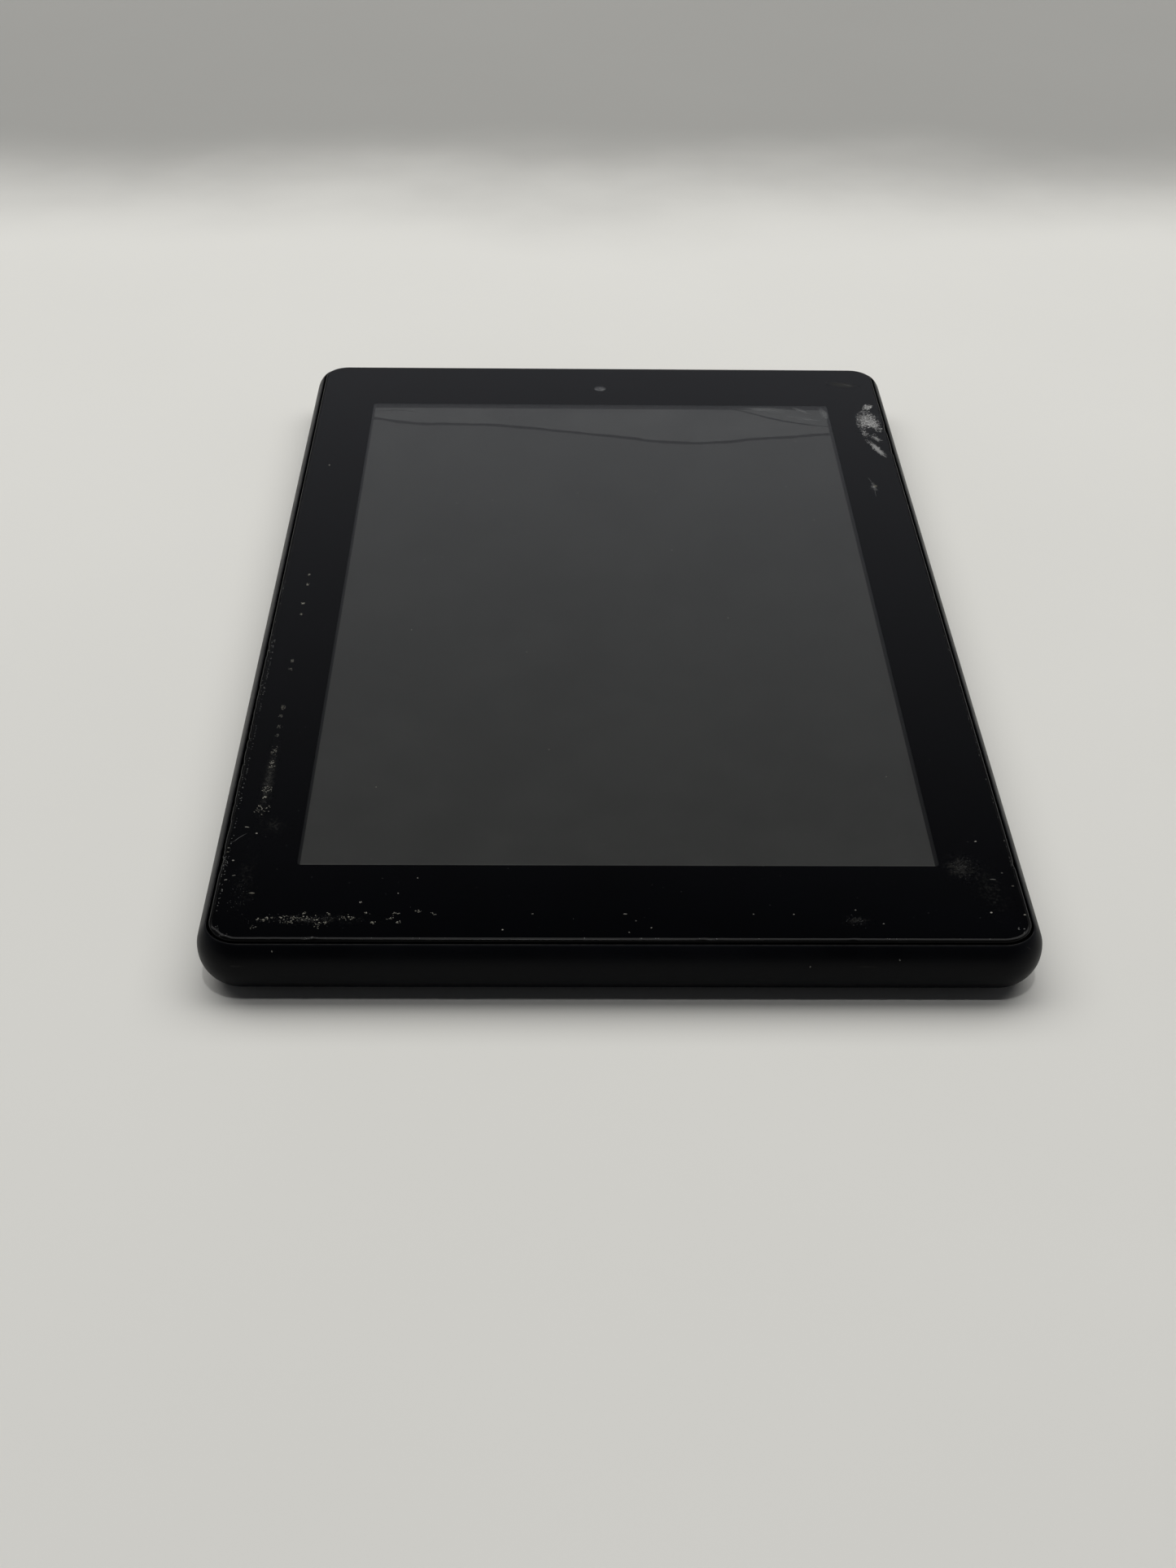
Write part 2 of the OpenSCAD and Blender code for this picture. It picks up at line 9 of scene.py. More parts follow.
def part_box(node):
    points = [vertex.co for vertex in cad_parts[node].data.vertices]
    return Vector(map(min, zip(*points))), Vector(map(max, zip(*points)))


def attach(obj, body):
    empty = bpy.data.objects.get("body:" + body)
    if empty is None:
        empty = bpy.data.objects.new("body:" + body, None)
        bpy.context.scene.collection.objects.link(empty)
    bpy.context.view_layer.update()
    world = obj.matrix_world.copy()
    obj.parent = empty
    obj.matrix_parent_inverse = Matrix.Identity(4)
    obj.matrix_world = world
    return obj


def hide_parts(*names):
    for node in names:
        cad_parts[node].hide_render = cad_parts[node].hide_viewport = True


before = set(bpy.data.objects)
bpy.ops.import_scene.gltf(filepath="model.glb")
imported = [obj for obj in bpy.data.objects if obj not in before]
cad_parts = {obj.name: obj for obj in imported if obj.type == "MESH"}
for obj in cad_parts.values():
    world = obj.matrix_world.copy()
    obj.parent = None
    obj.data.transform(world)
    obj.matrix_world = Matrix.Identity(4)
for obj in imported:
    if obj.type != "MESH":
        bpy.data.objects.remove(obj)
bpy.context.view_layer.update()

MM = 0.001

# ---------------------------------------------------------------- camera
# Held over the plain end of the tablet, a little left of its middle line and barely turned. The long
# side of an upright frame is the sensor's width.
camera_data = bpy.data.cameras.new("camera")
camera_data.sensor_width = 36
camera_data.lens = 49.178
camera = bpy.data.objects.new("camera", camera_data)
bpy.context.scene.collection.objects.link(camera)
bpy.context.scene.camera = camera
azimuth = math.radians(-1.152)
elevation = math.radians(34.432)
roll = math.radians(0.833)
back = Vector((math.sin(azimuth) * math.cos(elevation), -math.cos(azimuth) * math.cos(elevation),
               math.sin(elevation)))
aim = Vector((-3.982, -50.605, 5.0)) * MM
camera.location = aim + back * 324.55 * MM
camera.rotation_mode = "QUATERNION"
camera.rotation_quaternion = back.to_track_quat("Z", "Y") @ Quaternion((0, 0, 1), roll)


# ---------------------------------------------------------------- table and light
# A pale table top, its far part behind the tablet darkened by painted shade, with one big soft light
# above the camera end, and a small ceiling lamp that adds a faint firm shadow. The room is dark over the
# table and pale low down behind it and at both sides, which is what the glass and the rim mirror.
def add(tree, kind, inputs=None, **settings):
    """Adds a node, sets its options, then sets or links its inputs."""
    made = tree.nodes.new(kind)
    for key, value in settings.items():
        setattr(made, key, value)
    for key, value in (inputs or {}).items():
        if isinstance(value, bpy.types.NodeSocket):
            tree.links.new(value, made.inputs[key])
        else:
            made.inputs[key].default_value = value
    return made


def maths(tree, operation, *values):
    """A Math node on numbers and outputs."""
    return add(tree, "ShaderNodeMath", dict(enumerate(values)), operation=operation).outputs[0]


def ramp(tree, value, low, high, out_low=0.0, out_high=1.0):
    """A value smoothly taken from one range to another."""
    fields = {"Value": value, "From Min": low, "From Max": high, "To Min": out_low, "To Max": out_high}
    return add(tree, "ShaderNodeMapRange", fields, interpolation_type="SMOOTHSTEP").outputs["Result"]


def mixed(tree, factor, low, high):
    """A colour between two others."""
    mix = add(tree, "ShaderNodeMix", {"Factor": factor}, data_type="RGBA")
    for socket, colour in zip([one for one in mix.inputs if one.type == "RGBA"], (low, high)):
        if isinstance(colour, bpy.types.NodeSocket):
            tree.links.new(colour, socket)
        else:
            socket.default_value = (*colour, 1)
    return [one for one in mix.outputs if one.type == "RGBA"][0]


def new_material(name):
    """An empty node material, its tree, and the object's own coordinates in metres."""
    made = bpy.data.materials.new(name)
    made.use_nodes = True
    made.node_tree.nodes.clear()
    return made, made.node_tree, add(made.node_tree, "ShaderNodeTexCoord").outputs["Object"]


def end_material(tree, shader):
    """Links a shader to a material's output."""
    tree.links.new(shader.outputs[0], add(tree, "ShaderNodeOutputMaterial").inputs["Surface"])


floor_material, tree, place = new_material("table_top")
cloud = add(tree, "ShaderNodeTexNoise", {"Vector": place, "Scale": 9.0, "Detail": 5.0})
tone = mixed(tree, cloud.outputs["Fac"], (0.78, 0.772, 0.735), (0.83, 0.822, 0.785))
# Painted shade: beyond about 0.22 m behind the tablet the table's colour darkens by up to 0.55 towards black,
# along an edge broken up by the cloud.
far_back = add(tree, "ShaderNodeSeparateXYZ", {0: place}).outputs["Y"]
wander = maths(tree, "MULTIPLY_ADD", cloud.outputs["Fac"], 0.08, far_back)
painted_far_shade = ramp(tree, wander, 0.22, 0.33, 0.0, 0.55)
floor_tone_with_painted_shade = mixed(tree, painted_far_shade, tone, (0, 0, 0))
end_material(tree, add(tree, "ShaderNodeBsdfPrincipled", {"Base Color": floor_tone_with_painted_shade, "Roughness": 0.75,
                                                          "Specular IOR Level": 0.2}))
floor_mesh = bpy.data.meshes.new("table_top")
reach = 20
floor_mesh.from_pydata([(-reach, -reach, 0), (reach, -reach, 0), (reach, reach, 0), (-reach, reach, 0)], [],
                       [(0, 1, 2, 3)])
floor_mesh.materials.append(floor_material)
floor = bpy.data.objects.new("table_top", floor_mesh)
bpy.context.scene.collection.objects.link(floor)

world = bpy.data.worlds.new("room")
world.use_nodes = True
bpy.context.scene.world = world
tree = world.node_tree
tree.nodes.clear()
way = add(tree, "ShaderNodeSeparateXYZ", {0: add(tree, "ShaderNodeTexCoord").outputs["Generated"]})
wall_foot = 0.15
wall_head = 0.64
fall = {"Value": way.outputs["Z"], "From Min": wall_foot, "From Max": wall_head, "To Min": 1.0, "To Max": 0.0}
low_band = add(tree, "ShaderNodeMapRange", fall).outputs["Result"]
middle = ramp(tree, maths(tree, "ABSOLUTE", way.outputs["X"]), 0.18, 0.34, 0.39, 0.08)
behind = maths(tree, "MULTIPLY", maths(tree, "MAXIMUM", way.outputs["Y"], 0.0), middle)
beside = maths(tree, "MULTIPLY", maths(tree, "MULTIPLY", way.outputs["X"], way.outputs["X"]), 0.35)
glow = maths(tree, "ADD", behind, beside)
shade = maths(tree, "ADD", maths(tree, "MULTIPLY", low_band, glow), 0.008)
room = add(tree, "ShaderNodeBackground", {"Color": (0.965, 0.985, 1.06, 1), "Strength": shade})
tree.links.new(room.outputs[0], add(tree, "ShaderNodeOutputWorld").inputs["Surface"])

lamp_data = bpy.data.lights.new("soft_box", "AREA")
lamp_data.shape = "RECTANGLE"
lamp_data.size = 3.7
lamp_data.size_y = 1.76
lamp_data.energy = 42
lamp_data.color = (1.0, 0.995, 0.98)
lamp = bpy.data.objects.new("soft_box", lamp_data)
lamp.location = (0, 0.78, 1.6)
bpy.context.scene.collection.objects.link(lamp)
spot_data = bpy.data.lights.new("ceiling_spot", "SUN")
spot_data.energy = 0.37
spot_data.angle = math.radians(3)
spot = bpy.data.objects.new("ceiling_spot", spot_data)
spot.rotation_euler = (math.radians(11), 0, 0)
bpy.context.scene.collection.objects.link(spot)
bpy.context.scene.view_settings.view_transform = "Standard"


# ---------------------------------------------------------------- rear shell
# One moulded tub of black ABS with a fine satin grain. Its back rolls up into the sides and the sides
# draw in again to a thin rim round the glass. The mid frame snaps into pockets in its walls.
def group(name, inputs, outputs):
    """A shader node group with named sockets. Returns its tree, its input node and its output node."""
    made = bpy.data.node_groups.new(name, "ShaderNodeTree")
    for socket, kind, value in inputs:
        item = made.interface.new_socket(socket, in_out="INPUT", socket_type=kind)
        if value is not None:
            item.default_value = value
    for socket, kind in outputs:
        made.interface.new_socket(socket, in_out="OUTPUT", socket_type=kind)
    return made, made.nodes.new("NodeGroupInput"), made.nodes.new("NodeGroupOutput")


def place_group(tree, which, inputs):
    """Places a node group in a material and sets or links its inputs."""
    made = tree.nodes.new("ShaderNodeGroup")
    made.node_tree = which
    for key, value in inputs.items():
        if isinstance(value, bpy.types.NodeSocket):
            tree.links.new(value, made.inputs[key])
        else:
            made.inputs[key].default_value = value
    return made


FLOAT = "NodeSocketFloat"
VECTOR = "NodeSocketVector"

# Pebbled grain of a given size in millimetres, as a height and as a slow change of tone.
grain_group, enter, leave = group("moulded_grain", [("Vector", VECTOR, None), ("Size", FLOAT, 0.2)],
                                  [("Height", FLOAT), ("Tone", FLOAT)])
per_metre = maths(grain_group, "DIVIDE", 1000.0, enter.outputs["Size"])
pebbles = add(grain_group, "ShaderNodeTexNoise", {"Vector": enter.outputs["Vector"], "Scale": per_metre,
                                                  "Detail": 3.0, "Roughness": 0.6})
clouds = add(grain_group, "ShaderNodeTexNoise", {"Vector": enter.outputs["Vector"], "Scale": 70.0,
                                                 "Detail": 5.0, "Roughness": 0.55})
grain_group.links.new(pebbles.outputs["Fac"], leave.inputs["Height"])
grain_group.links.new(ramp(grain_group, clouds.outputs["Fac"], 0.3, 0.7), leave.inputs["Tone"])

# Where hands and tables rub: edges rounder than a radius show as 1, broken up by noise.
rub_group, enter, leave = group("rubbed_edges", [("Vector", VECTOR, None), ("Radius", FLOAT, 0.4)],
                                [("Mask", FLOAT)])
rub_radius = maths(rub_group, "MULTIPLY", enter.outputs["Radius"], MM)
bent = add(rub_group, "ShaderNodeBevel", {"Radius": rub_radius}, samples=4)
true_normal = add(rub_group, "ShaderNodeNewGeometry").outputs["Normal"]
turn = add(rub_group, "ShaderNodeVectorMath", {0: bent.outputs[0], 1: true_normal}, operation="DOT_PRODUCT")
edge = ramp(rub_group, turn.outputs["Value"], 0.995, 0.86)
patches = add(rub_group, "ShaderNodeTexNoise", {"Vector": enter.outputs["Vector"], "Scale": 450.0,
                                                "Detail": 6.0, "Roughness": 0.7})
broken = ramp(rub_group, patches.outputs["Fac"], 0.42, 0.62)
rub_group.links.new(maths(rub_group, "MULTIPLY", edge, broken), leave.inputs["Mask"])

# Short fine scratches that lie in two directions, and dull smears between them.
marks_group, enter, leave = group("handling_marks", [("Vector", VECTOR, None), ("Cover", FLOAT, 0.3)],
                                  [("Scratches", FLOAT), ("Smears", FLOAT)])
scratched = None
for lean, stretch in ((0.5, (90, 2600, 900)), (-0.9, (70, 2100, 900))):
    laid = add(marks_group, "ShaderNodeMapping", {"Vector": enter.outputs["Vector"], "Rotation": (0, 0, lean),
                                                  "Scale": stretch})
    line = add(marks_group, "ShaderNodeTexNoise", {"Vector": laid.outputs[0], "Scale": 1.0, "Detail": 2.0})
    thin = ramp(marks_group, line.outputs["Fac"], 0.70, 0.78)
    scratched = thin if scratched is None else maths(marks_group, "MAXIMUM", scratched, thin)
smear = add(marks_group, "ShaderNodeTexNoise", {"Vector": enter.outputs["Vector"], "Scale": 120.0,
                                                "Detail": 4.0, "Distortion": 0.8})
smeared = ramp(marks_group, smear.outputs["Fac"], 0.5, 0.75)
cover = enter.outputs["Cover"]
marks_group.links.new(maths(marks_group, "MULTIPLY", scratched, cover), leave.inputs["Scratches"])
marks_group.links.new(maths(marks_group, "MULTIPLY", smeared, cover), leave.inputs["Smears"])


def finish(name, colour, worn, roughness, size=0.2, bump=0.004, cover=0.3, radius=0.25, metallic=0.0,
           specular=0.5, vary=0.25):
    """A solid finish: a colour that varies, grain, rubbed edges in a second colour, and handling marks."""
    made, tree, place = new_material(name)
    grain = place_group(tree, grain_group, {"Vector": place, "Size": size})
    rub = place_group(tree, rub_group, {"Vector": place, "Radius": radius})
    marks = place_group(tree, marks_group, {"Vector": place, "Cover": cover})
    dark = [c * (1 - vary) for c in colour]
    light = [min(1, c * (1 + vary)) for c in colour]
    base = mixed(tree, grain.outputs["Tone"], dark, light)
    wear = maths(tree, "MAXIMUM", rub.outputs["Mask"], marks.outputs["Scratches"])
    shown = mixed(tree, wear, base, worn)
    uneven = maths(tree, "MULTIPLY_ADD", grain.outputs["Tone"], 0.08, roughness - 0.04)
    rough = maths(tree, "MULTIPLY_ADD", marks.outputs["Smears"], 0.15, uneven)
    raised = add(tree, "ShaderNodeBump", {"Height": grain.outputs["Height"], "Distance": bump * MM,
                                          "Strength": 1.0})
    end_material(tree, add(tree, "ShaderNodeBsdfPrincipled", {
        "Base Color": shown, "Roughness": rough, "Normal": raised.outputs[0], "Metallic": metallic,
        "Specular IOR Level": specular, "IOR": 1.46}))
    return made


def piece(name, bm, materials, body="tablet", replaces=(), crisp=30):
    """Makes a piece from a mesh drawn in millimetres and rides it on a body."""
    mesh = bpy.data.meshes.new(name)
    bmesh.ops.recalc_face_normals(bm, faces=bm.faces)
    bm.to_mesh(mesh)
    bm.free()
    return place_piece(name, mesh, materials, body, replaces, crisp)


def place_piece(name, mesh, materials, body="tablet", replaces=(), crisp=30):
    """Takes a mesh from millimetres to metres, shades it smooth between crisp edges and rides it."""
    for vertex in mesh.vertices:
        vertex.co *= MM
    for face in mesh.polygons:
        face.use_smooth = True
    mesh.set_sharp_from_angle(angle=math.radians(crisp))
    for material in materials:
        mesh.materials.append(material)
    made = bpy.data.objects.new(name, mesh)
    bpy.context.scene.collection.objects.link(made)
    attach(made, body)
    if replaces:
        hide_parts(*replaces)
    return made


def arc(cx, cz, radius, start, end, steps):
    """Points of an arc in a section, by angles in degrees from outward to up."""
    turns = [math.radians(start + (end - start) * i / steps) for i in range(steps + 1)]
    return [(cx + radius * math.cos(t), cz + radius * math.sin(t)) for t in turns]


def rounded(half_x, half_y, radius, steps=24, every=0.0):
    """A rectangle with round corners, anticlockwise, with points at this distance along its sides."""
    found = []
    centres = [(1, 1, 0), (-1, 1, 90), (-1, -1, 180), (1, -1, 270)]
    for sx, sy, start in centres:
        cx = sx * (half_x - radius)
        cy = sy * (half_y - radius)
        for i in range(steps + 1):
            turn = math.radians(start + 90 * i / steps)
            found.append((cx + radius * math.cos(turn), cy + radius * math.sin(turn)))
        run = 2 * (half_x - radius) if start in (0, 180) else 2 * (half_y - radius)
        pieces_on_side = max(1, round(run / every)) if every else 1
        heading = math.radians(start + 180)
        x, y = found[-1]
        for i in range(1, pieces_on_side):
            found.append((x + math.cos(heading) * run * i / pieces_on_side,
                          y + math.sin(heading) * run * i / pieces_on_side))
    return found


def skin(bm, low, high):
    """Joins two rings of vertices."""
    for i in range(len(low)):
        j = (i + 1) % len(low)
        bm.faces.new((low[i], low[j], high[j], high[i]))


def loft(bm, rings):
    """Joins rings of points into a skin and closes both ends."""
    made = [[bm.verts.new(p) for p in ring] for ring in rings]
    for low, high in zip(made, made[1:]):
        skin(bm, low, high)
    bm.faces.new(list(reversed(made[0])))
    bm.faces.new(made[-1])


def box_mesh(bm, low, high):
    """A box between two corners."""
    xs, ys, zs = zip(low, high)
    ring = [(xs[0], ys[0]), (xs[1], ys[0]), (xs[1], ys[1]), (xs[0], ys[1])]
    loft(bm, [[(x, y, z) for x, y in ring] for z in zs])


def carve(mesh, tool, operation="DIFFERENCE"):
    """One mesh cut by, or joined with, another. Both are in millimetres."""
    bmesh.ops.recalc_face_normals(tool, faces=tool.faces)
    other_mesh = bpy.data.meshes.new("tool")
    tool.to_mesh(other_mesh)
    tool.free()
    work = bpy.data.objects.new("work", mesh)
    other = bpy.data.objects.new("tool", other_mesh)
    for made in (work, other):
        bpy.context.scene.collection.objects.link(made)
    step = work.modifiers.new("cut", "BOOLEAN")
    step.object = other
    step.operation = operation
    step.solver = "EXACT"
    bpy.context.view_layer.update()
    result = bpy.data.meshes.new_from_object(work.evaluated_get(bpy.context.evaluated_depsgraph_get()))
    for made in (work, other):
        bpy.data.objects.remove(made)
    return result


shell_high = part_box("rear_shell")[1]
half_w = shell_high.x / MM
half_l = shell_high.y / MM
rim_z = shell_high.z / MM
corner_r = 6.2
base_r = 5.6
shoulder_r = 4.6
side_top = 5.9
wall = 1.5
rim_in = corner_r - wall
rim_round = 0.05
shoulder_end = math.degrees(math.asin((rim_z - side_top) / shoulder_r))

# The section from the middle of the back, round the outside to the rim and down the inside again, as
# (distance from the corner's axis, height).
section = [(0.3, 0.0)] + arc(corner_r - base_r, base_r, base_r, -90, 0, 30)
section += arc(corner_r - shoulder_r, side_top, shoulder_r, 0, shoulder_end - 0.9, 14)
rim_out = corner_r - shoulder_r + shoulder_r * math.cos(math.radians(shoulder_end))
section += arc(rim_out - rim_round, rim_z - rim_round, rim_round, 45, 90, 3)
section += arc(rim_in + rim_round, rim_z - rim_round, rim_round, 90, 180, 4)
section += arc(rim_in - base_r + wall, base_r, base_r - wall, 0, -90, 30)


def shell_ring(reach, z):
    """The shell's outline at a reach from its corners' axes."""
    grow = reach - corner_r
    return [(x, y, z) for x, y in rounded(half_w + grow, half_l + grow, reach)]


bm = bmesh.new()
loft(bm, [shell_ring(reach, z) for reach, z in section])
bmesh.ops.recalc_face_normals(bm, faces=bm.faces)
shell_mesh = bpy.data.meshes.new("shell")
bm.to_mesh(shell_mesh)
bm.free()

# Stiffening ribs inside, three across and six along, rooted a little way into the back.
rib_half = 0.4
ribs = bmesh.new()
for y in (-88, -80, -72):
    box_mesh(ribs, (-46, y - rib_half, wall - 0.2), (46, y + rib_half, 3.6))
shell_mesh = carve(shell_mesh, ribs, "UNION")
ribs = bmesh.new()
for x in range(-40, 41, 16):
    box_mesh(ribs, (x - rib_half, -92, wall - 0.3), (x + rib_half, -68.5, 3))
shell_mesh = carve(shell_mesh, ribs, "UNION")


def oval(cx, cz, length, height, grow=0.0):
    """A slot with round ends, as (x, z) points."""
    steps = 14
    r = height / 2 + grow
    straight = (length - height) / 2
    found = [(cx + straight + r * math.cos(t), cz + r * math.sin(t))
             for t in (math.radians(-90 + 180 * i / steps) for i in range(steps + 1))]
    found += [(cx - straight + r * math.cos(t), cz + r * math.sin(t))
              for t in (math.radians(90 + 180 * i / steps) for i in range(steps + 1))]
    return found


def end_wall(z):
    """How far out the end of the shell reaches at a height."""
    if z < base_r:
        return half_l - base_r + math.sqrt(max(0.0, base_r**2 - (base_r - z) ** 2))
    if z <= side_top:
        return half_l
    return half_l - shoulder_r + math.sqrt(max(0.0, shoulder_r**2 - (z - side_top) ** 2))


def end_hole(bm, cx, cz, length, height, soft=0.14):
    """A tool for a hole in the camera end whose edge is eased where it meets the curved wall."""
    rings = [[(x, half_l - 4, z) for x, z in oval(cx, cz, length, height)]]
    for turn in (0, 30, 60):
        grow = soft * (1 - math.cos(math.radians(turn)))
        sink = soft * (1 - math.sin(math.radians(turn)))
        rings.append([(x, end_wall(z) - sink, z) for x, z in oval(cx, cz, length, height, grow)])
    rings.append([(x, end_wall(z) + 2, z) for x, z in oval(cx, cz, length, height, soft + 0.8)])
    loft(bm, rings)


power_low, power_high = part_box("power_button")
rocker_low, rocker_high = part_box("volume_rocker")
usb_low, usb_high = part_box("usb_socket")
jack_low, jack_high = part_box("headphone_socket")
power_x = (power_low.x + power_high.x) / 2 / MM
rocker_x = (rocker_low.x + rocker_high.x) / 2 / MM
usb_x = (usb_low.x + usb_high.x) / 2 / MM
jack_x = (jack_low.x + jack_high.x) / 2 / MM
button_z = 5.9
usb_z = 4.825
jack_z = 5.1
microphone_x = 3.0
microphone_z = 4.4
holes = bmesh.new()
end_hole(holes, power_x, button_z, 9.0, 2.4)
end_hole(holes, rocker_x, button_z, 17.0, 2.4)
end_hole(holes, usb_x, usb_z, 8.5, 3.35)
end_hole(holes, jack_x, jack_z, 4.8, 4.8)
end_hole(holes, microphone_x, microphone_z, 0.9, 0.9, 0.06)
shell_mesh = carve(shell_mesh, holes)


def round_tool(bm, cx, cy, steps_up, sides=28):
    """A closed turned shape from (radius, height) points, bottom to top."""
    turns = [math.radians(360 * i / sides) for i in range(sides)]
    loft(bm, [[(cx + r * math.cos(t), cy + r * math.sin(t), z) for t in turns] for r, z in steps_up])


# The grille's holes in rows of four, and the rear camera's stepped opening.
speaker_x = -45.2
speaker_y = 26.0
grille_pitch = 1.9
grille_hole = [(0.72, -1), (0.72, -0.06), (0.55, 0.11), (0.55, 2)]
holes = bmesh.new()
for i in range(4):
    for j in range(13):
        round_tool(holes, speaker_x + (i - 1.5) * grille_pitch, speaker_y + (j - 6) * grille_pitch,
                   grille_hole, 20)
camera_x = 45.0
camera_y = 85.0
round_tool(holes, camera_x, camera_y,
           [(3.3, -1), (3.2, -0.06), (3.06, 0.04), (3.0, 0.12), (3.0, 0.6), (2.0, 0.62), (2.0, 2)], 56)
shell_mesh = carve(shell_mesh, holes)

# The card door's recess, its finger nick and the slot behind it.
door_low, door_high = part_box("card_door")
door_gap = 0.1
recess = bmesh.new()
box_mesh(recess, (56.5, door_low.y / MM - 0.3, door_low.z / MM - door_gap),
         (59, door_high.y / MM + door_gap, door_high.z / MM + door_gap))
shell_mesh = carve(shell_mesh, recess)
nail = bmesh.new()
round_tool(nail, 58.1, door_high.y / MM + 0.5, [(1.3, 3.2), (1.3, 6.2)], 32)
shell_mesh = carve(shell_mesh, nail)
slot_cut = bmesh.new()
box_mesh(slot_cut, (55, 60.2, 3.9), (57.2, 71.8, 4.9))
shell_mesh = carve(shell_mesh, slot_cut)

# Pockets in the walls for the mid frame's catches.
catch_half = 2.1
catch_deep = 0.45
catch_foot = 6.5
catch_head = 7.5
clear = 0.8
catch_cuts = bmesh.new()
inner_x = half_w - wall
inner_y = half_l - wall
for y in (-66, -22, 22):
    for side in (-1, 1):
        x_from, x_to = sorted((side * (inner_x - clear), side * (inner_x + catch_deep)))
        box_mesh(catch_cuts, (x_from, y - catch_half, catch_foot), (x_to, y + catch_half, catch_head))
for x in (-30, 30):
    box_mesh(catch_cuts, (x - catch_half, -inner_y - catch_deep, catch_foot),
             (x + catch_half, -inner_y + clear, catch_head))
shell_mesh = carve(shell_mesh, catch_cuts)

satin_black = (0.0018, 0.0021, 0.0031)
rubbed_black = (0.030, 0.029, 0.028)
shell_plastic = finish("satin_shell", satin_black, rubbed_black, 0.40, size=0.16, bump=0.006, cover=0.35,
                       radius=0.22, specular=0.09)
place_piece("rear_tub", shell_mesh, [shell_plastic], replaces=["rear_shell"], crisp=28)

# ---------------------------------------------------------------- buttons and card door
# The power button, the volume rocker and the memory-card door are moulded in the shell's plastic, a
# touch glossier where fingers polish them. They keep the shapes of the design, with eased edges.


def soften(node, width, segments=2, angle=35):
    """Welds a node's faces together and eases its sharp edges by a width in millimetres."""
    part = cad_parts[node]
    if "custom_normal" in part.data.attributes:
        part.data.attributes.remove(part.data.attributes["custom_normal"])
    for face in part.data.polygons:
        face.use_smooth = True
    weld = part.modifiers.new("weld", "WELD")
    weld.merge_threshold = 0.003 * MM
    ease = part.modifiers.new("ease", "BEVEL")
    ease.width = width * MM
    ease.segments = segments
    ease.limit_method = "ANGLE"
    ease.angle_limit = math.radians(angle)
    flat = part.modifiers.new("flat_faces", "WEIGHTED_NORMAL")
    flat.keep_sharp = True
    return part


def paint(node, material):
    """Gives every face of a node one material."""
    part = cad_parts[node]
    part.data.materials.clear()
    part.data.materials.append(material)


button_plastic = finish("polished_button", satin_black, rubbed_black, 0.30, size=0.3, bump=0.002, cover=0.3,
                        radius=0.2, specular=0.2)
for node in ("power_button", "volume_rocker"):
    soften(node, 0.22, 3)
    paint(node, button_plastic)
soften("card_door", 0.08)
paint("card_door", shell_plastic)

# ---------------------------------------------------------------- cover glass
# A sheet of 0.9 mm glass with its upper edge ground round and polished. It has been knocked: the edge
# is nicked all along the left side, and the near left corner has lost a flake.
glass_low, glass_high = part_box("cover_glass")
glass_x = glass_high.x / MM
glass_y = glass_high.y / MM
glass_top = glass_high.z / MM
glass_r = 4.35
sunk = 0.005
# Knocks in the edge, as (x, y, width, depth).
knocks = [(-55.6, -76.5, 1.0, 0.42), (-55.6, -78.3, 0.8, 0.28), (-54.2, -92.4, 1.2, 0.45),
          (-52.9, -93.8, 0.8, 0.2), (-41.4, -94.1, 0.5, 0.16), (11.0, -94.1, 0.6, 0.14),
          (31.2, -94.1, 0.5, 0.14), (55.6, -76.8, 1.0, 0.22), (55.2, -88.8, 0.6, 0.16),
          (55.6, 66.0, 2.2, 0.30), (55.6, 56.0, 1.6, 0.22)]
dice = random.Random(11)
knocks += [(-55.6, dice.uniform(-80, -18), dice.uniform(0.3, 0.7), dice.uniform(0.05, 0.22))
           for _ in range(46)]
knocks += [(dice.uniform(-50, 50), -94.1, dice.uniform(0.25, 0.5), dice.uniform(0.02, 0.06))
           for _ in range(9)]


def knocked(x, y):
    """How deep the edge is chipped at a point of the outline."""
    deep = 0.0
    for kx, ky, width, depth in knocks:
        near = math.hypot(x - kx, y - ky) / width
        if near < 1:
            deep = max(deep, depth * (1 - near * near) * (0.75 + 0.5 * noise.noise(Vector((x, y, 3)) * 4)))
    return deep


# The ground edge from its foot to the flat top, as (inset, height below the top, share of a chip).
edge_section = [(0.10, 0.905, 0.0), (0.0, 0.80, 0.0), (0.0, 0.36, 0.3), (0.02, 0.24, 0.8), (0.06, 0.15, 1.0),
                (0.12, 0.09, 1.0), (0.20, 0.042, 1.0), (0.30, 0.012, 0.9), (0.44, 0.0, 0.75)]
plain = rounded(glass_x, glass_y, glass_r, 24, 0.6)
chipped = [knocked(x, y) for x, y in plain]


def glass_ring(inset, z, share=0.0):
    """The glass outline inset evenly, and further where it is chipped."""
    found = []
    for (x, y), (bx, by), deep in zip(rounded(glass_x - inset, glass_y - inset, glass_r - inset, 24, 0.6),
                                      plain, chipped):
        middle = Vector((max(-50.0, min(50.0, bx)), max(-88.0, min(88.0, by))))
        inward = (middle - Vector((bx, by))).normalized() * deep * share
        found.append((x + inward.x, y + inward.y, z))
    return found


bm = bmesh.new()
glass_foot = glass_low.z / MM - sunk
pane_inset, pane_share = edge_section[-1][0], edge_section[-1][2]
loft(bm, [glass_ring(pane_inset, z, pane_share) for z in (glass_foot, glass_top)])


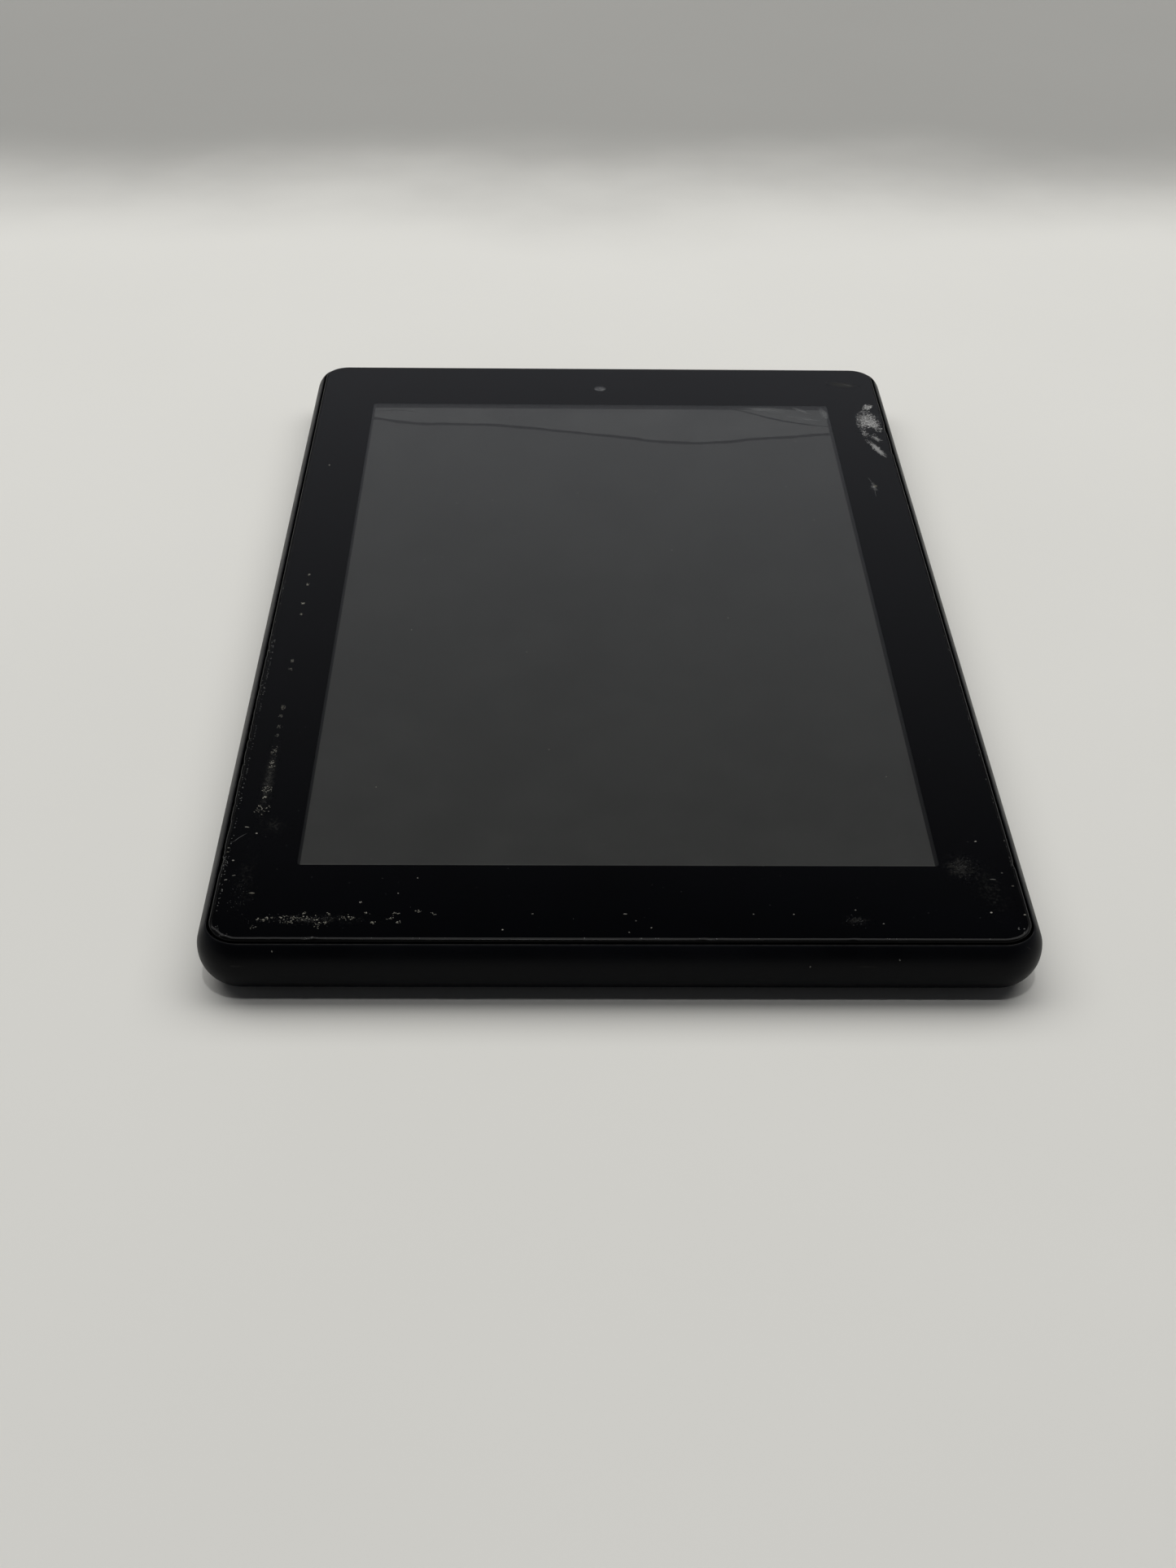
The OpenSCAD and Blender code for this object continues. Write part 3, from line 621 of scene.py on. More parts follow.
def clear_glass():
    """Glass that lets lamps and soft light straight through to what is under it."""
    made, tree, _ = new_material("cover_glass")
    glass = add(tree, "ShaderNodeBsdfPrincipled", {"Base Color": (0.985, 0.995, 0.99, 1), "Roughness": 0.0,
                                                   "IOR": 1.5, "Transmission Weight": 1.0})
    rays = add(tree, "ShaderNodeLightPath")
    lit = maths(tree, "MAXIMUM", rays.outputs["Is Shadow Ray"], rays.outputs["Is Diffuse Ray"])
    clear = add(tree, "ShaderNodeBsdfTransparent")
    end_material(tree, add(tree, "ShaderNodeMixShader", {0: lit, 1: glass.outputs[0], 2: clear.outputs[0]}))
    return made


piece("front_glass", bm, [clear_glass()], replaces=["cover_glass"])

# The ground edge is satin, so it shows dark grey over the tape and foam under it.
bm = bmesh.new()
rings = [glass_ring(inset, max(glass_top - drop, glass_foot), share) for inset, drop, share in edge_section]
rings.append(glass_ring(pane_inset, glass_foot, pane_share))
hoops = [[bm.verts.new(p) for p in ring] for ring in rings]
for low, high in zip(hoops, hoops[1:] + hoops[:1]):
    skin(bm, low, high)
ground = finish("ground_edge", (0.003, 0.003, 0.003), (0.05, 0.05, 0.05), 0.20, size=0.25, bump=0.004,
                cover=0.2, radius=0.05, specular=0.13)
piece("ground_edge", bm, [ground], crisp=40)

# ---------------------------------------------------------------- black border
# Two coats of black ink screen-printed on the underside of the glass, with a clear window for the
# display and a small one for the camera. Black foam tape under it holds the glass to the mid frame.
ink = finish("border_ink", (0.0003, 0.0004, 0.0008), (0.001, 0.001, 0.001), 0.6, size=0.5, bump=0.0005,
             cover=0.0, radius=0.05, specular=0.0, vary=0.3)
paint("glass_border_print", ink)
foam = finish("foam_tape", (0.02, 0.02, 0.02), (0.04, 0.04, 0.04), 0.85, size=0.25, bump=0.05, cover=0.1)
paint("glass_adhesive", foam)

# ---------------------------------------------------------------- display face
# The polarising film on the front of the display, dark grey when it is off, with the black matrix of
# the panel showing as a narrow frame round it. The panel is cracked from side to side near the camera
# end, and the film has let go of the glass beyond the crack.


def film(name, colour, roughness, specular, speck=0.06):
    """A dull film with a faint mottle and a very fine haze."""
    made, tree, place = new_material(name)
    grain = place_group(tree, grain_group, {"Vector": place, "Size": 0.35})
    marks = place_group(tree, marks_group, {"Vector": place, "Cover": 0.35})
    base = mixed(tree, grain.outputs["Tone"], [c * (1 - speck) for c in colour],
                 [c * (1 + speck) for c in colour])
    rough = maths(tree, "MULTIPLY_ADD", marks.outputs["Smears"], 0.08, roughness)
    raised = add(tree, "ShaderNodeBump", {"Height": grain.outputs["Height"], "Distance": 0.0004 * MM})
    end_material(tree, add(tree, "ShaderNodeBsdfPrincipled", {
        "Base Color": base, "Roughness": rough, "Normal": raised.outputs[0], "IOR": 1.5,
        "Specular IOR Level": specular}))
    return made


film_low, film_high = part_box("front_polariser")
film_z = film_high.z / MM
live_left = -44.75
live_right = 44.6
live_far = 75.7
# A paler strip along the film's near edge is painted highlight. The crack is a shallow groove.
edge_highlight_from = -76.5
edge_highlight_to = -76.2
groove = 0.07
crack_points = [(-46.6, 71.0), (-44.5, 70.7), (-39, 69.0), (-35, 68.2), (-31, 68.3), (-22, 68.0),
                (-14, 66.7), (-8, 65.3), (0, 63.6), (5, 62.5), (10, 61.0), (14, 60.5), (18.5, 60.2),
                (25, 61.0), (29, 62.2), (35, 63.0), (44, 64.6), (46.6, 65.0)]


def height_at(points, x):
    """The line through points, at x."""
    for (x0, y0), (x1, y1) in zip(points, points[1:]):
        if x0 <= x <= x1:
            t = (x - x0) / (x1 - x0)
            return y0 + (y1 - y0) * t * t * (3 - 2 * t) * 0.5 + (y1 - y0) * t * 0.5
    return points[-1][1]


dice = random.Random(5)
columns = [film_low.x / MM, live_left]
x = live_left + 0.7
while x < live_right - 0.5:
    columns.append(x)
    x += dice.uniform(0.5, 1.1)
columns += [live_right, film_high.x / MM]

# Each column's rows: near edge, the strip of painted highlight, crack with its two lips, matrix, far edge.
grid = []
for x in columns:
    line = height_at(crack_points, x) + dice.uniform(-0.07, 0.07)
    half = dice.uniform(0.45, 0.72)
    grid.append([(film_low.y / MM, film_z), (edge_highlight_from, film_z), (edge_highlight_to, film_z),
                 (line - half, film_z), (line, film_z - groove), (line + half, film_z), (live_far, film_z),
                 (film_high.y / MM, film_z)])
last_row = len(grid[0]) - 1
plain_film, lifted_film_and_edge_highlight, cracked_film, black_matrix = range(4)


def film_at(i, j):
    """Which finish the film has in a column and a row."""
    if j in (3, 4):
        return cracked_film
    if i in (0, len(columns) - 2) or j == last_row - 1:
        return black_matrix
    # Row 1, the strip of painted highlight, takes the lifted film's paler finish.
    return lifted_film_and_edge_highlight if j > 4 or j == 1 else plain_film


bm = bmesh.new()
top = [[bm.verts.new((x, y, z)) for y, z in column] for x, column in zip(columns, grid)]
under = [[bm.verts.new((x, y, film_low.z / MM)) for y, z in column] for x, column in zip(columns, grid)]
for i in range(len(columns) - 1):
    for j in range(last_row):
        upper = bm.faces.new((top[i][j], top[i + 1][j], top[i + 1][j + 1], top[i][j + 1]))
        upper.material_index = film_at(i, j)
        bm.faces.new((under[i][j], under[i][j + 1], under[i + 1][j + 1], under[i + 1][j]))
    bm.faces.new((under[i][0], under[i + 1][0], top[i + 1][0], top[i][0]))
    bm.faces.new((under[i + 1][-1], under[i][-1], top[i][-1], top[i + 1][-1]))
for j in range(last_row):
    bm.faces.new((under[0][j + 1], under[0][j], top[0][j], top[0][j + 1]))
    bm.faces.new((under[-1][j], under[-1][j + 1], top[-1][j + 1], top[-1][j]))
film_materials = [film("screen_film", (0.0350, 0.0353, 0.0340), 0.16, 0.12),
                  film("lifted_film_and_edge_highlight", (0.0435, 0.0438, 0.0425), 0.16, 0.12, 0.12),
                  film("cracked_film", (0.013, 0.013, 0.013), 0.6, 0.0),
                  film("black_matrix", (0.010, 0.010, 0.0105), 0.5, 0.0)]
piece("display_face", bm, film_materials, replaces=["front_polariser"], crisp=1)


def ribbon(bm, path, z, widths, thick=0.02):
    """A thin strip along a line of points, closed on all sides, that narrows by its list of widths."""
    rows = []
    for i, (x, y) in enumerate(path):
        before = Vector(path[max(0, i - 1)])
        after = Vector(path[min(len(path) - 1, i + 1)])
        across = (after - before).normalized().orthogonal() * widths[i] / 2
        rows.append([(x - across.x, y - across.y, z), (x + across.x, y + across.y, z),
                     (x + across.x * 0.6, y + across.y * 0.6, z + thick),
                     (x - across.x * 0.6, y - across.y * 0.6, z + thick)])
    loft(bm, rows)


def split_line(ends, steps, wander, dice):
    """A broken line through some points, with small wanderings between them."""
    found = []
    for (x0, y0), (x1, y1) in zip(ends, ends[1:]):
        for i in range(steps):
            t = i / steps
            found.append((x0 + (x1 - x0) * t + dice.uniform(-wander, wander),
                          y0 + (y1 - y0) * t + dice.uniform(-wander, wander)))
    return found + [ends[-1]]


def taper(count, width, dice):
    """Widths that swell in the middle of a line and run out at its ends."""
    return [width * (0.15 + math.sin(math.pi * i / (count - 1))) * dice.uniform(0.7, 1.2)
            for i in range(count)]


bm = bmesh.new()
for ends, width in (([(23, 77.4), (28.5, 74.9), (33, 72.1), (36, 70.5), (41, 68.8), (46.4, 67.7)], 0.60),
                    ([(-46, 73.9), (-40.5, 74.6), (-36, 73.8)], 0.14)):
    line = split_line(ends, 5, 0.05, dice)
    ribbon(bm, line, film_z + 0.002, taper(len(line), width, dice))
piece("display_cracks", bm, [film("dark_crack", (0.011, 0.011, 0.011), 0.6, 0.0)])


def veil_finish(name, colour, thickest, size, spread):
    """A soft patch that is thickest in its middle, thins out to nothing and is broken up by noise."""
    made, tree, place = new_material(name)
    grain = place_group(tree, grain_group, {"Vector": place, "Size": size})
    fade = add(tree, "ShaderNodeAttribute", attribute_name="fade").outputs["Fac"]
    uneven = maths(tree, "SUBTRACT", grain.outputs["Height"], 0.5)
    broken = maths(tree, "MULTIPLY_ADD", uneven, spread * 2.0, fade)
    cover = ramp(tree, broken, 0.15, 1.0, 0.0, thickest)
    base = mixed(tree, grain.outputs["Tone"], [c * 0.75 for c in colour], colour)
    end_material(tree, add(tree, "ShaderNodeBsdfPrincipled", {
        "Base Color": base, "Roughness": 0.6, "Specular IOR Level": 0.1, "Alpha": cover}))
    return made


def patch(cx, cy, rx, ry, lean=0.0):
    """The outline of a leaning oval."""
    a = math.radians(lean)
    turns = [2 * math.pi * k / 28 for k in range(28)]
    return [(cx + rx * math.cos(t) * math.cos(a) - ry * math.sin(t) * math.sin(a),
             cy + rx * math.cos(t) * math.sin(a) + ry * math.sin(t) * math.cos(a)) for t in turns]


def veil(name, spots, z, material):
    """Flat soft patches, each an outline and a strength."""
    bm = bmesh.new()
    layer = bm.verts.layers.float.new("fade")
    for outline, strength in spots:
        fine = [(x0 + (x1 - x0) * k / 4, y0 + (y1 - y0) * k / 4)
                for (x0, y0), (x1, y1) in zip(outline, outline[1:] + outline[:1]) for k in range(4)]
        cx = sum(x for x, y in fine) / len(fine)
        cy = sum(y for x, y in fine) / len(fine)
        rings = []
        for share in (0.06, 0.3, 0.55, 0.8, 1.0):
            ring = []
            for x, y in fine:
                grow = share * (1 + 0.25 * noise.noise(Vector((x, y, 7)) * 1.1))
                made = bm.verts.new((cx + (x - cx) * grow, cy + (y - cy) * grow, z))
                made[layer] = strength * (1 - share)
                ring.append(made)
            rings.append(ring)
        bm.faces.new(rings[0])
        for inner, outer in zip(rings, rings[1:]):
            for k in range(len(fine)):
                n = (k + 1) % len(fine)
                bm.faces.new((inner[k], outer[k], outer[n], inner[n]))
    return piece(name, bm, [material])


veil("lifted_haze", [(patch(40.0, 75.2, 3.8, 0.9, -45), 1.2), (patch(44.3, 74.0, 1.1, 3.6, 8), 1.4),
                     (patch(33.0, 75.8, 8.0, 1.9, -6), 0.9), (patch(27.0, 68.4, 5.0, 0.5, -4), 0.6),
                     (patch(40.0, 71.6, 6.0, 1.2, -16), 0.8), (patch(-40.0, 74.0, 5.0, 1.6), 0.4)],
     film_z + 0.03, veil_finish("lifted_haze", (0.11, 0.112, 0.11), 0.75, 2.0, 0.35))

# ---------------------------------------------------------------- crushed glass
# Where a corner took a blow, the glass is crushed to a whitish patch of fine shards that still lie in
# place, with a second bruise below it and hairline cracks running out of them.


def shard_finish(name, dark, light, roughness):
    """Loose bits that each have a tone of their own."""
    made, tree, place = new_material(name)
    own = add(tree, "ShaderNodeNewGeometry").outputs["Random Per Island"]
    grain = place_group(tree, grain_group, {"Vector": place, "Size": 0.12})
    tone = maths(tree, "MULTIPLY", own, grain.outputs["Tone"])
    base = mixed(tree, tone, dark, light)
    raised = add(tree, "ShaderNodeBump", {"Height": grain.outputs["Height"], "Distance": 0.02 * MM})
    rough = maths(tree, "MULTIPLY_ADD", own, 0.2, roughness)
    end_material(tree, add(tree, "ShaderNodeBsdfPrincipled", {
        "Base Color": base, "Roughness": rough, "Normal": raised.outputs[0], "IOR": 1.5}))
    return made


def crumb(bm, x, y, z, length, width, height, turn, dice, sides=7):
    """A small closed lump with an uneven outline and a raised middle."""
    ring = []
    for i in range(sides):
        t = 2 * math.pi * i / sides
        r = dice.uniform(0.65, 1.1) / 2
        px = r * length * math.cos(t)
        py = r * width * math.sin(t)
        ring.append((x + px * math.cos(turn) - py * math.sin(turn),
                     y + px * math.sin(turn) + py * math.cos(turn)))
    inner = [(x + (px - x) * 0.6, y + (py - y) * 0.6) for px, py in ring]
    loft(bm, [[(px, py, z) for px, py in ring],
              [(px, py, z + height * dice.uniform(0.7, 1.0)) for px, py in inner]])


def inside(outline, x, y):
    """Whether a point lies inside an outline."""
    odd = False
    for (x0, y0), (x1, y1) in zip(outline, outline[1:] + outline[:1]):
        if (y0 > y) != (y1 > y) and x < x0 + (x1 - x0) * (y - y0) / (y1 - y0):
            odd = not odd
    return odd


# Bruises, as (outline, number of shards, size of the shards, strength of the haze over them).
ground_from = 55.1
bruises = [([(49.9, 69.6), (50.6, 72.6), (51.8, 74.2), (53.2, 74.2), (54.2, 71.8), (55.0, 67.0),
             (54.6, 64.2), (53.4, 64.6), (52.8, 66.6), (51.6, 65.8), (50.3, 66.6)], 330, 0.36, 1.6),
           ([(51.9, 74.9), (52.4, 76.6), (53.4, 77.4), (54.4, 76.6), (53.8, 75.2), (53.0, 74.3)],
            60, 0.32, 1.4),
           ([(50.9, 60.9), (51.9, 60.7), (53.0, 58.4), (54.2, 55.2), (54.5, 53.4), (53.7, 53.2), (52.6, 55.2),
             (51.5, 58.0)], 110, 0.34, 1.3),
           ([(50.2, 66.6), (51.4, 66.0), (52.0, 63.6), (51.6, 61.4), (50.7, 62.4)], 60, 0.22, 0.9),
           ([(51.6, 63.0), (53.2, 63.8), (54.4, 60.8), (54.0, 59.0), (52.6, 60.4)], 40, 0.24, 0.8)]
veil("crushed_haze", [(outline, strength) for outline, count, size, strength in bruises]
     + [(patch(50.2, 40.6, 0.8, 3.0, 4), 0.6), (patch(52.3, 69.6, 3.4, 6.6, -8), 0.5)],
     glass_top + 0.002, veil_finish("crushed_haze", (0.34, 0.34, 0.335), 0.90, 0.7, 0.50))
dice = random.Random(23)
bm = bmesh.new()
for outline, count, size, strength in bruises:
    cx = sum(x for x, y in outline) / len(outline)
    cy = sum(y for x, y in outline) / len(outline)
    placed = 0
    while placed < count:
        x = dice.uniform(min(x for x, y in outline), max(x for x, y in outline))
        y = dice.uniform(min(y for x, y in outline), max(y for x, y in outline))
        if not inside(outline, x, y) or x > ground_from:
            continue
        placed += 1
        away = math.hypot(x - cx, (y - cy) * 0.5)
        near = size * (1.25 - 0.25 * min(2.0, away)) * dice.uniform(0.5, 1.5)
        crumb(bm, x, y, glass_top - 0.012, near, near * dice.uniform(0.4, 0.9), 0.03,
              dice.uniform(0, math.pi), dice, 5)
crushed = shard_finish("crushed_glass", (0.05, 0.05, 0.05), (0.70, 0.70, 0.69), 0.35)
piece("crushed_shards", bm, [crushed], crisp=20)

# Flakes still in the knocked edges: a dotted row down the left edge and a few elsewhere.
# Rows as (x, y, how far they spread in x, how far in y, number).
flake_rows = [(-54.75, -52, 0.10, 36, 120), (-55.2, -40, 0.12, 44, 50), (-55.0, -76.6, 0.3, 1.2, 14),
              (-54.4, -91.9, 0.35, 0.7, 9), (-53.3, -93.2, 0.5, 0.3, 8), (55.2, -76.8, 0.15, 1.6, 12),
              (55.2, -40, 0.08, 40, 36), (-41.5, -93.7, 0.3, 0.12, 4), (-42.2, -93.9, 0.2, 0.08, 3),
              (54.0, -91.9, 0.4, 0.6, 5), (-20, -93.8, 25, 0.06, 12), (30, -93.8, 22, 0.06, 10)]
bm = bmesh.new()
for cx, cy, wide, long, count in flake_rows:
    for _ in range(count):
        crumb(bm, cx + dice.uniform(-wide, wide), cy + dice.uniform(-long, long), glass_top - 0.03,
              dice.uniform(0.14, 0.36), dice.uniform(0.07, 0.18), 0.05, dice.uniform(0, 3), dice, 5)
flake = shard_finish("edge_flakes", (0.02, 0.02, 0.02), (0.46, 0.46, 0.44), 0.4)
piece("edge_flakes", bm, [flake], crisp=20)

# Hairlines, as (points, width).
bm = bmesh.new()
hairlines = [([(50.1, 42.6), (49.4, 44.6)], 0.08), ([(50.2, 40.2), (50.1, 36.6)], 0.10),
             ([(-52.9, -70.0), (-54.9, -72.4)], 0.09), ([(49.4, 87.0), (51.4, 85.8)], 0.14)]
for ends, width in hairlines:
    line = split_line(ends, 6, 0.06, dice)
    ribbon(bm, line, glass_top - 0.006, taper(len(line), width, dice), 0.012)
hairline = shard_finish("hairline", (0.015, 0.015, 0.015), (0.08, 0.08, 0.08), 0.4)
piece("hairline_cracks", bm, [hairline])

# ---------------------------------------------------------------- glue and dust on the glass
# An old screen protector has left two rows of pale glue crumbs, one down the left border and one
# along the near border. Lint and dust lie scattered over the rest.
dice = random.Random(37)
bm = bmesh.new()
# Crumbs down the left border, as (y, length, width).
left_row_x = -51.25
left_row = [(6, 0.3, 0.2), (2.5, 0.3, 0.25), (-4, 0.35, 0.3), (-7.5, 0.3, 0.2), (-22.5, 0.5, 0.25),
            (-25, 0.3, 0.3), (-36.5, 0.6, 0.35), (-39, 0.35, 0.3), (-42, 0.5, 0.4), (-44.5, 0.4, 0.3),
            (-48.5, 0.9, 0.45), (-52, 0.5, 0.4), (-53, 0.4, 0.3), (-59, 0.7, 0.7), (-61, 0.3, 0.3),
            (-64, 0.9, 1)]
for y, length, width in left_row:
    for _ in range(3 + int(length * 24)):
        crumb(bm, left_row_x + dice.gauss(0, width * 0.5), y + dice.gauss(0, length * 0.6),
              glass_top - 0.005, dice.uniform(0.10, 0.34), dice.uniform(0.08, 0.22), 0.06,
              dice.uniform(0, 3), dice)
# Crumbs along the near border, as (x, y, length, width).
near_row = [(-49.5, -91.5, 0.5, 0.2), (-48.5, -90, 0.9, 0.25), (-47.5, -89.5, 0.4, 0.2),
            (-46, -89.5, 0.3, 0.2), (-45, -89.5, 0.8, 0.3), (-45, -90.5, 0.8, 0.25), (-43, -89.5, 1, 0.3),
            (-43, -88.5, 0.3, 0.2), (-41.5, -90, 0.5, 0.8), (-41, -91, 0.6, 0.4), (-40, -90.5, 0.3, 0.2),
            (-39.5, -88.5, 0.3, 0.2), (-37.5, -89.5, 0.7, 0.3), (-36.5, -89.5, 0.6, 0.25),
            (-34.5, -88.5, 0.4, 0.2), (-33.5, -90.5, 0.3, 0.2), (-31, -89.5, 0.5, 0.3),
            (-30.5, -88.5, 0.5, 0.3), (-30, -90.5, 0.6, 0.25), (-27.5, -88, 0.4, 0.3),
            (-25.5, -88.5, 0.3, 0.2)]
for cx, cy, length, width in near_row:
    for _ in range(4 + int(length * 11)):
        crumb(bm, cx + dice.gauss(0, length * 0.55), cy + dice.gauss(0, width * 0.8), glass_top - 0.005,
              dice.uniform(0.08, 0.36), dice.uniform(0.06, 0.18), 0.06, dice.uniform(-0.5, 0.5), dice)
pale_glue = shard_finish("old_glue", (0.035, 0.035, 0.03), (0.62, 0.60, 0.50), 0.6)
piece("glue_crumbs", bm, [pale_glue], crisp=20)

# Single bits of lint, as (x, y, length, width, turn in degrees). The wide ones are duller.
bm = bmesh.new()
dull_from = 0.35
lint = [(-51.5, 48.5, 0.5, 0.25, 70), (50.5, 41, 0.8, 0.7, 20), (0.5, -88.5, 0.8, 0.16, 0),
        (2, -90, 0.25, 0.2, 0), (1, -92.5, 0.25, 0.2, 0), (4, -91.5, 0.3, 0.2, 40),
        (52, -80.5, 1, 0.16, -8), (54.5, -82, 0.4, 0.35, 0), (53.5, -79, 0.3, 0.2, 0),
        (55, -88.5, 0.4, 0.3, 0), (50.5, -88, 0.35, 0.3, 0), (51, -71.5, 0.4, 0.25, 30),
        (-53, -68.5, 0.7, 0.2, -10), (-51.5, -70, 0.4, 0.3, 0), (-55, -73.5, 0.4, 0.3, 0),
        (-55, -74.5, 0.5, 0.35, 0), (-54, -76.5, 0.4, 0.3, 0), (-54.5, -81, 0.5, 0.25, 20),
        (-53.5, -80, 0.6, 0.15, 15), (-50.5, -84, 0.9, 0.4, 5), (-16, -92, 0.3, 0.25, 0),
        (-12, -88.5, 0.3, 0.2, 0), (18, -88.5, 0.3, 0.2, 0), (23.5, -88.5, 0.3, 0.2, 0),
        (32, -87.5, 0.3, 0.25, 0), (35.5, -90.5, 0.3, 0.2, 0), (-30.5, -84, 0.25, 0.2, 0),
        (-28, -80.5, 0.25, 0.2, 0), (-35.5, -86, 0.4, 0.32, 0)]
for x, y, length, width, turned in lint:
    made_before = len(bm.faces)
    crumb(bm, x, y, glass_top - 0.004, length, width, 0.05, math.radians(turned), dice, 8)
    bm.faces.ensure_lookup_table()
    for face in bm.faces[made_before:]:
        face.material_index = 1 if width >= dull_from else 0
window_specks = 18
for _ in range(window_specks):
    crumb(bm, dice.uniform(-43, 43), dice.uniform(-75, 62), glass_top - 0.004, dice.uniform(0.2, 0.3),
          dice.uniform(0.15, 0.2), 0.05, dice.uniform(0, 3), dice, 8)
lint_finishes = [shard_finish("lint", (0.09, 0.09, 0.08), (0.50, 0.48, 0.42), 0.8),
                 shard_finish("dull_lint", (0.04, 0.038, 0.03), (0.13, 0.12, 0.095), 0.8)]
piece("lint", bm, lint_finishes, crisp=20)

# Fine dust over everything, and thicker where the glass has been touched.
bm = bmesh.new()
dust_specks = 420
for _ in range(dust_specks):
    x = dice.uniform(-54, 54)
    y = dice.uniform(-93, 93)
    size = dice.uniform(0.05, 0.13)
    crumb(bm, x, y, glass_top - 0.003, size * dice.uniform(1, 2), size, 0.02, dice.uniform(0, 3), dice, 5)
# Greasy touches, as (x, y, half width, half length, number of specks).
touches = [(48.2, -77.6, 1.9, 2.6, 120), (-52.5, -84.5, 1.6, 5.0, 50), (31.9, -89.9, 1.6, 1.0, 40),
           (-51.3, -56.0, 0.7, 8.0, 130), (-43.0, -89.9, 6.0, 0.9, 150)]
for cx, cy, rx, ry, count in touches:
    for _ in range(count):
        crumb(bm, dice.gauss(cx, rx * 0.5), dice.gauss(cy, ry * 0.5), glass_top - 0.003,
              dice.uniform(0.06, 0.2), dice.uniform(0.05, 0.12), 0.015, dice.uniform(0, 3), dice, 5)
fine_dust = shard_finish("fine_dust", (0.02, 0.02, 0.02), (0.09, 0.09, 0.085), 0.7)
piece("fine_dust", bm, [fine_dust], crisp=20)
veil("smears", [(patch(48.0, -77.8, 3.0, 3.6), 0.7), (patch(-51.8, -81.0, 1.8, 10.0), 0.3),
                (patch(31.9, -89.9, 2.4, 1.3), 0.5), (patch(-51.3, -56.0, 1.2, 11.0), 0.7),
                (patch(-41.0, -89.8, 10.0, 1.5), 0.4), (patch(49.4, 86.6, 3.4, 1.5, -14), 1.4),
                (patch(51.0, -82.0, 3.0, 8.0, 10), 0.35), (patch(-49.5, -68.0, 2.6, 3.0, 30), 0.4)],
     glass_top + 0.003, veil_finish("smears", (0.075, 0.074, 0.066), 0.30, 0.45, 0.8))

# Three specks of dust on the near side of the shell, as (x, height).
bm = bmesh.new()
for x, z in ((25.2, 6.5), (37.2, 7.5), (-46.6, 8.4)):
    for _ in range(3):
        crumb(bm, x + dice.uniform(-0.08, 0.08), z + dice.uniform(-0.06, 0.06), 0, 0.26, 0.16, 0.05,
              dice.uniform(0, 3), dice)
for v in bm.verts:
    x, z, lift = v.co
    v.co = (x, -end_wall(z) - lift + 0.01, z)
side_dust = shard_finish("side_specks", (0.10, 0.10, 0.09), (0.35, 0.34, 0.3), 0.8)
piece("side_specks", bm, [side_dust], crisp=20)

# ---------------------------------------------------------------- the two cameras
# Small modules with a stepped black barrel round a coated lens. The front one looks through the clear
# dot in the border, the rear one through a round window set in the back.


def lens_glass(name, painted_sheen_tint):
    """A dark coated lens, glossy, with a painted sheen: its colour turns to the tint as the surface turns
    away from the view, strongest at its rim.
    """
    made, tree, place = new_material(name)
    grain = place_group(tree, grain_group, {"Vector": place, "Size": 0.4})
    # Painted sheen: the base colour goes from near black to the tint as the surface turns away from the view.
    painted_sheen_share = add(tree, "ShaderNodeLayerWeight", {"Blend": 0.4}).outputs["Facing"]
    base = mixed(tree, painted_sheen_share, (0.004, 0.004, 0.006), painted_sheen_tint)
    rough = maths(tree, "MULTIPLY_ADD", grain.outputs["Tone"], 0.05, 0.04)
    end_material(tree, add(tree, "ShaderNodeBsdfPrincipled", {
        "Base Color": base, "Roughness": rough, "IOR": 1.6, "Coat Weight": 1.0, "Coat Roughness": 0.03}))
    return made


# The blue is the colour of the painted sheen on both lenses.
coated_lens = lens_glass("coated_lens", (0.05, 0.07, 0.16))
barrel_black = finish("barrel_black", (0.012, 0.012, 0.013), (0.05, 0.05, 0.05), 0.45, size=0.15, bump=0.003)
front_low, front_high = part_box("front_camera")
lens_sides = 40
bm = bmesh.new()
round_tool(bm, 0, (front_low.y + front_high.y) / 2 / MM,
           [(0.95, 8.28), (0.95, 8.36), (0.8, 8.42), (0.55, 8.465), (0.3, 8.49), (0.08, 8.497)], lens_sides)
piece("front_lens", bm, [coated_lens], crisp=60)
for node in ("front_camera", "rear_camera"):
    soften(node, 0.12)
    paint(node, barrel_black)

smoked_glass = finish("smoked_window", (0.006, 0.006, 0.007), (0.05, 0.05, 0.055), 0.08, size=0.8,
                      bump=0.0003, cover=0.2, radius=0.12)
soften("rear_camera_window", 0.08, 2)
paint("rear_camera_window", smoked_glass)
bm = bmesh.new()
round_tool(bm, camera_x, camera_y, [(1.5, 0.105), (1.5, 0.095), (1.3, 0.088), (0.7, 0.084), (0.15, 0.082)],
           lens_sides)
piece("rear_lens", bm, [coated_lens], crisp=60)

# ---------------------------------------------------------------- sockets in the camera end
# A pressed steel charging socket with its black tongue and gilt contacts, the moulded headphone
# socket with gilt tails, and the microphone in its rubber boot.
pressed_steel = finish("pressed_steel", (0.50, 0.50, 0.51), (0.72, 0.72, 0.73), 0.30, size=0.6, bump=0.002,
                       cover=0.6, radius=0.2, metallic=1.0, vary=0.08)
gilt = finish("gilt_contacts", (0.72, 0.52, 0.20), (0.85, 0.68, 0.36), 0.26, size=0.5, bump=0.001, cover=0.5,
              radius=0.1, metallic=1.0, vary=0.08)
socket_black = finish("socket_black", (0.013, 0.013, 0.014), (0.06, 0.06, 0.06), 0.42, size=0.25, bump=0.004)
boot_rubber = finish("boot_rubber", (0.016, 0.016, 0.017), (0.05, 0.05, 0.05), 0.75, size=0.4, bump=0.02)
soften("usb_socket", 0.08)
paint("usb_socket", pressed_steel)
soften("usb_tongue", 0.05)
paint("usb_tongue", gilt)
soften("headphone_socket", 0.15)
paint("headphone_socket", socket_black)
soften("headphone_tails", 0.06)
paint("headphone_tails", gilt)
soften("microphone", 0.08)
paint("microphone", gilt)
soften("microphone_boot", 0.1)
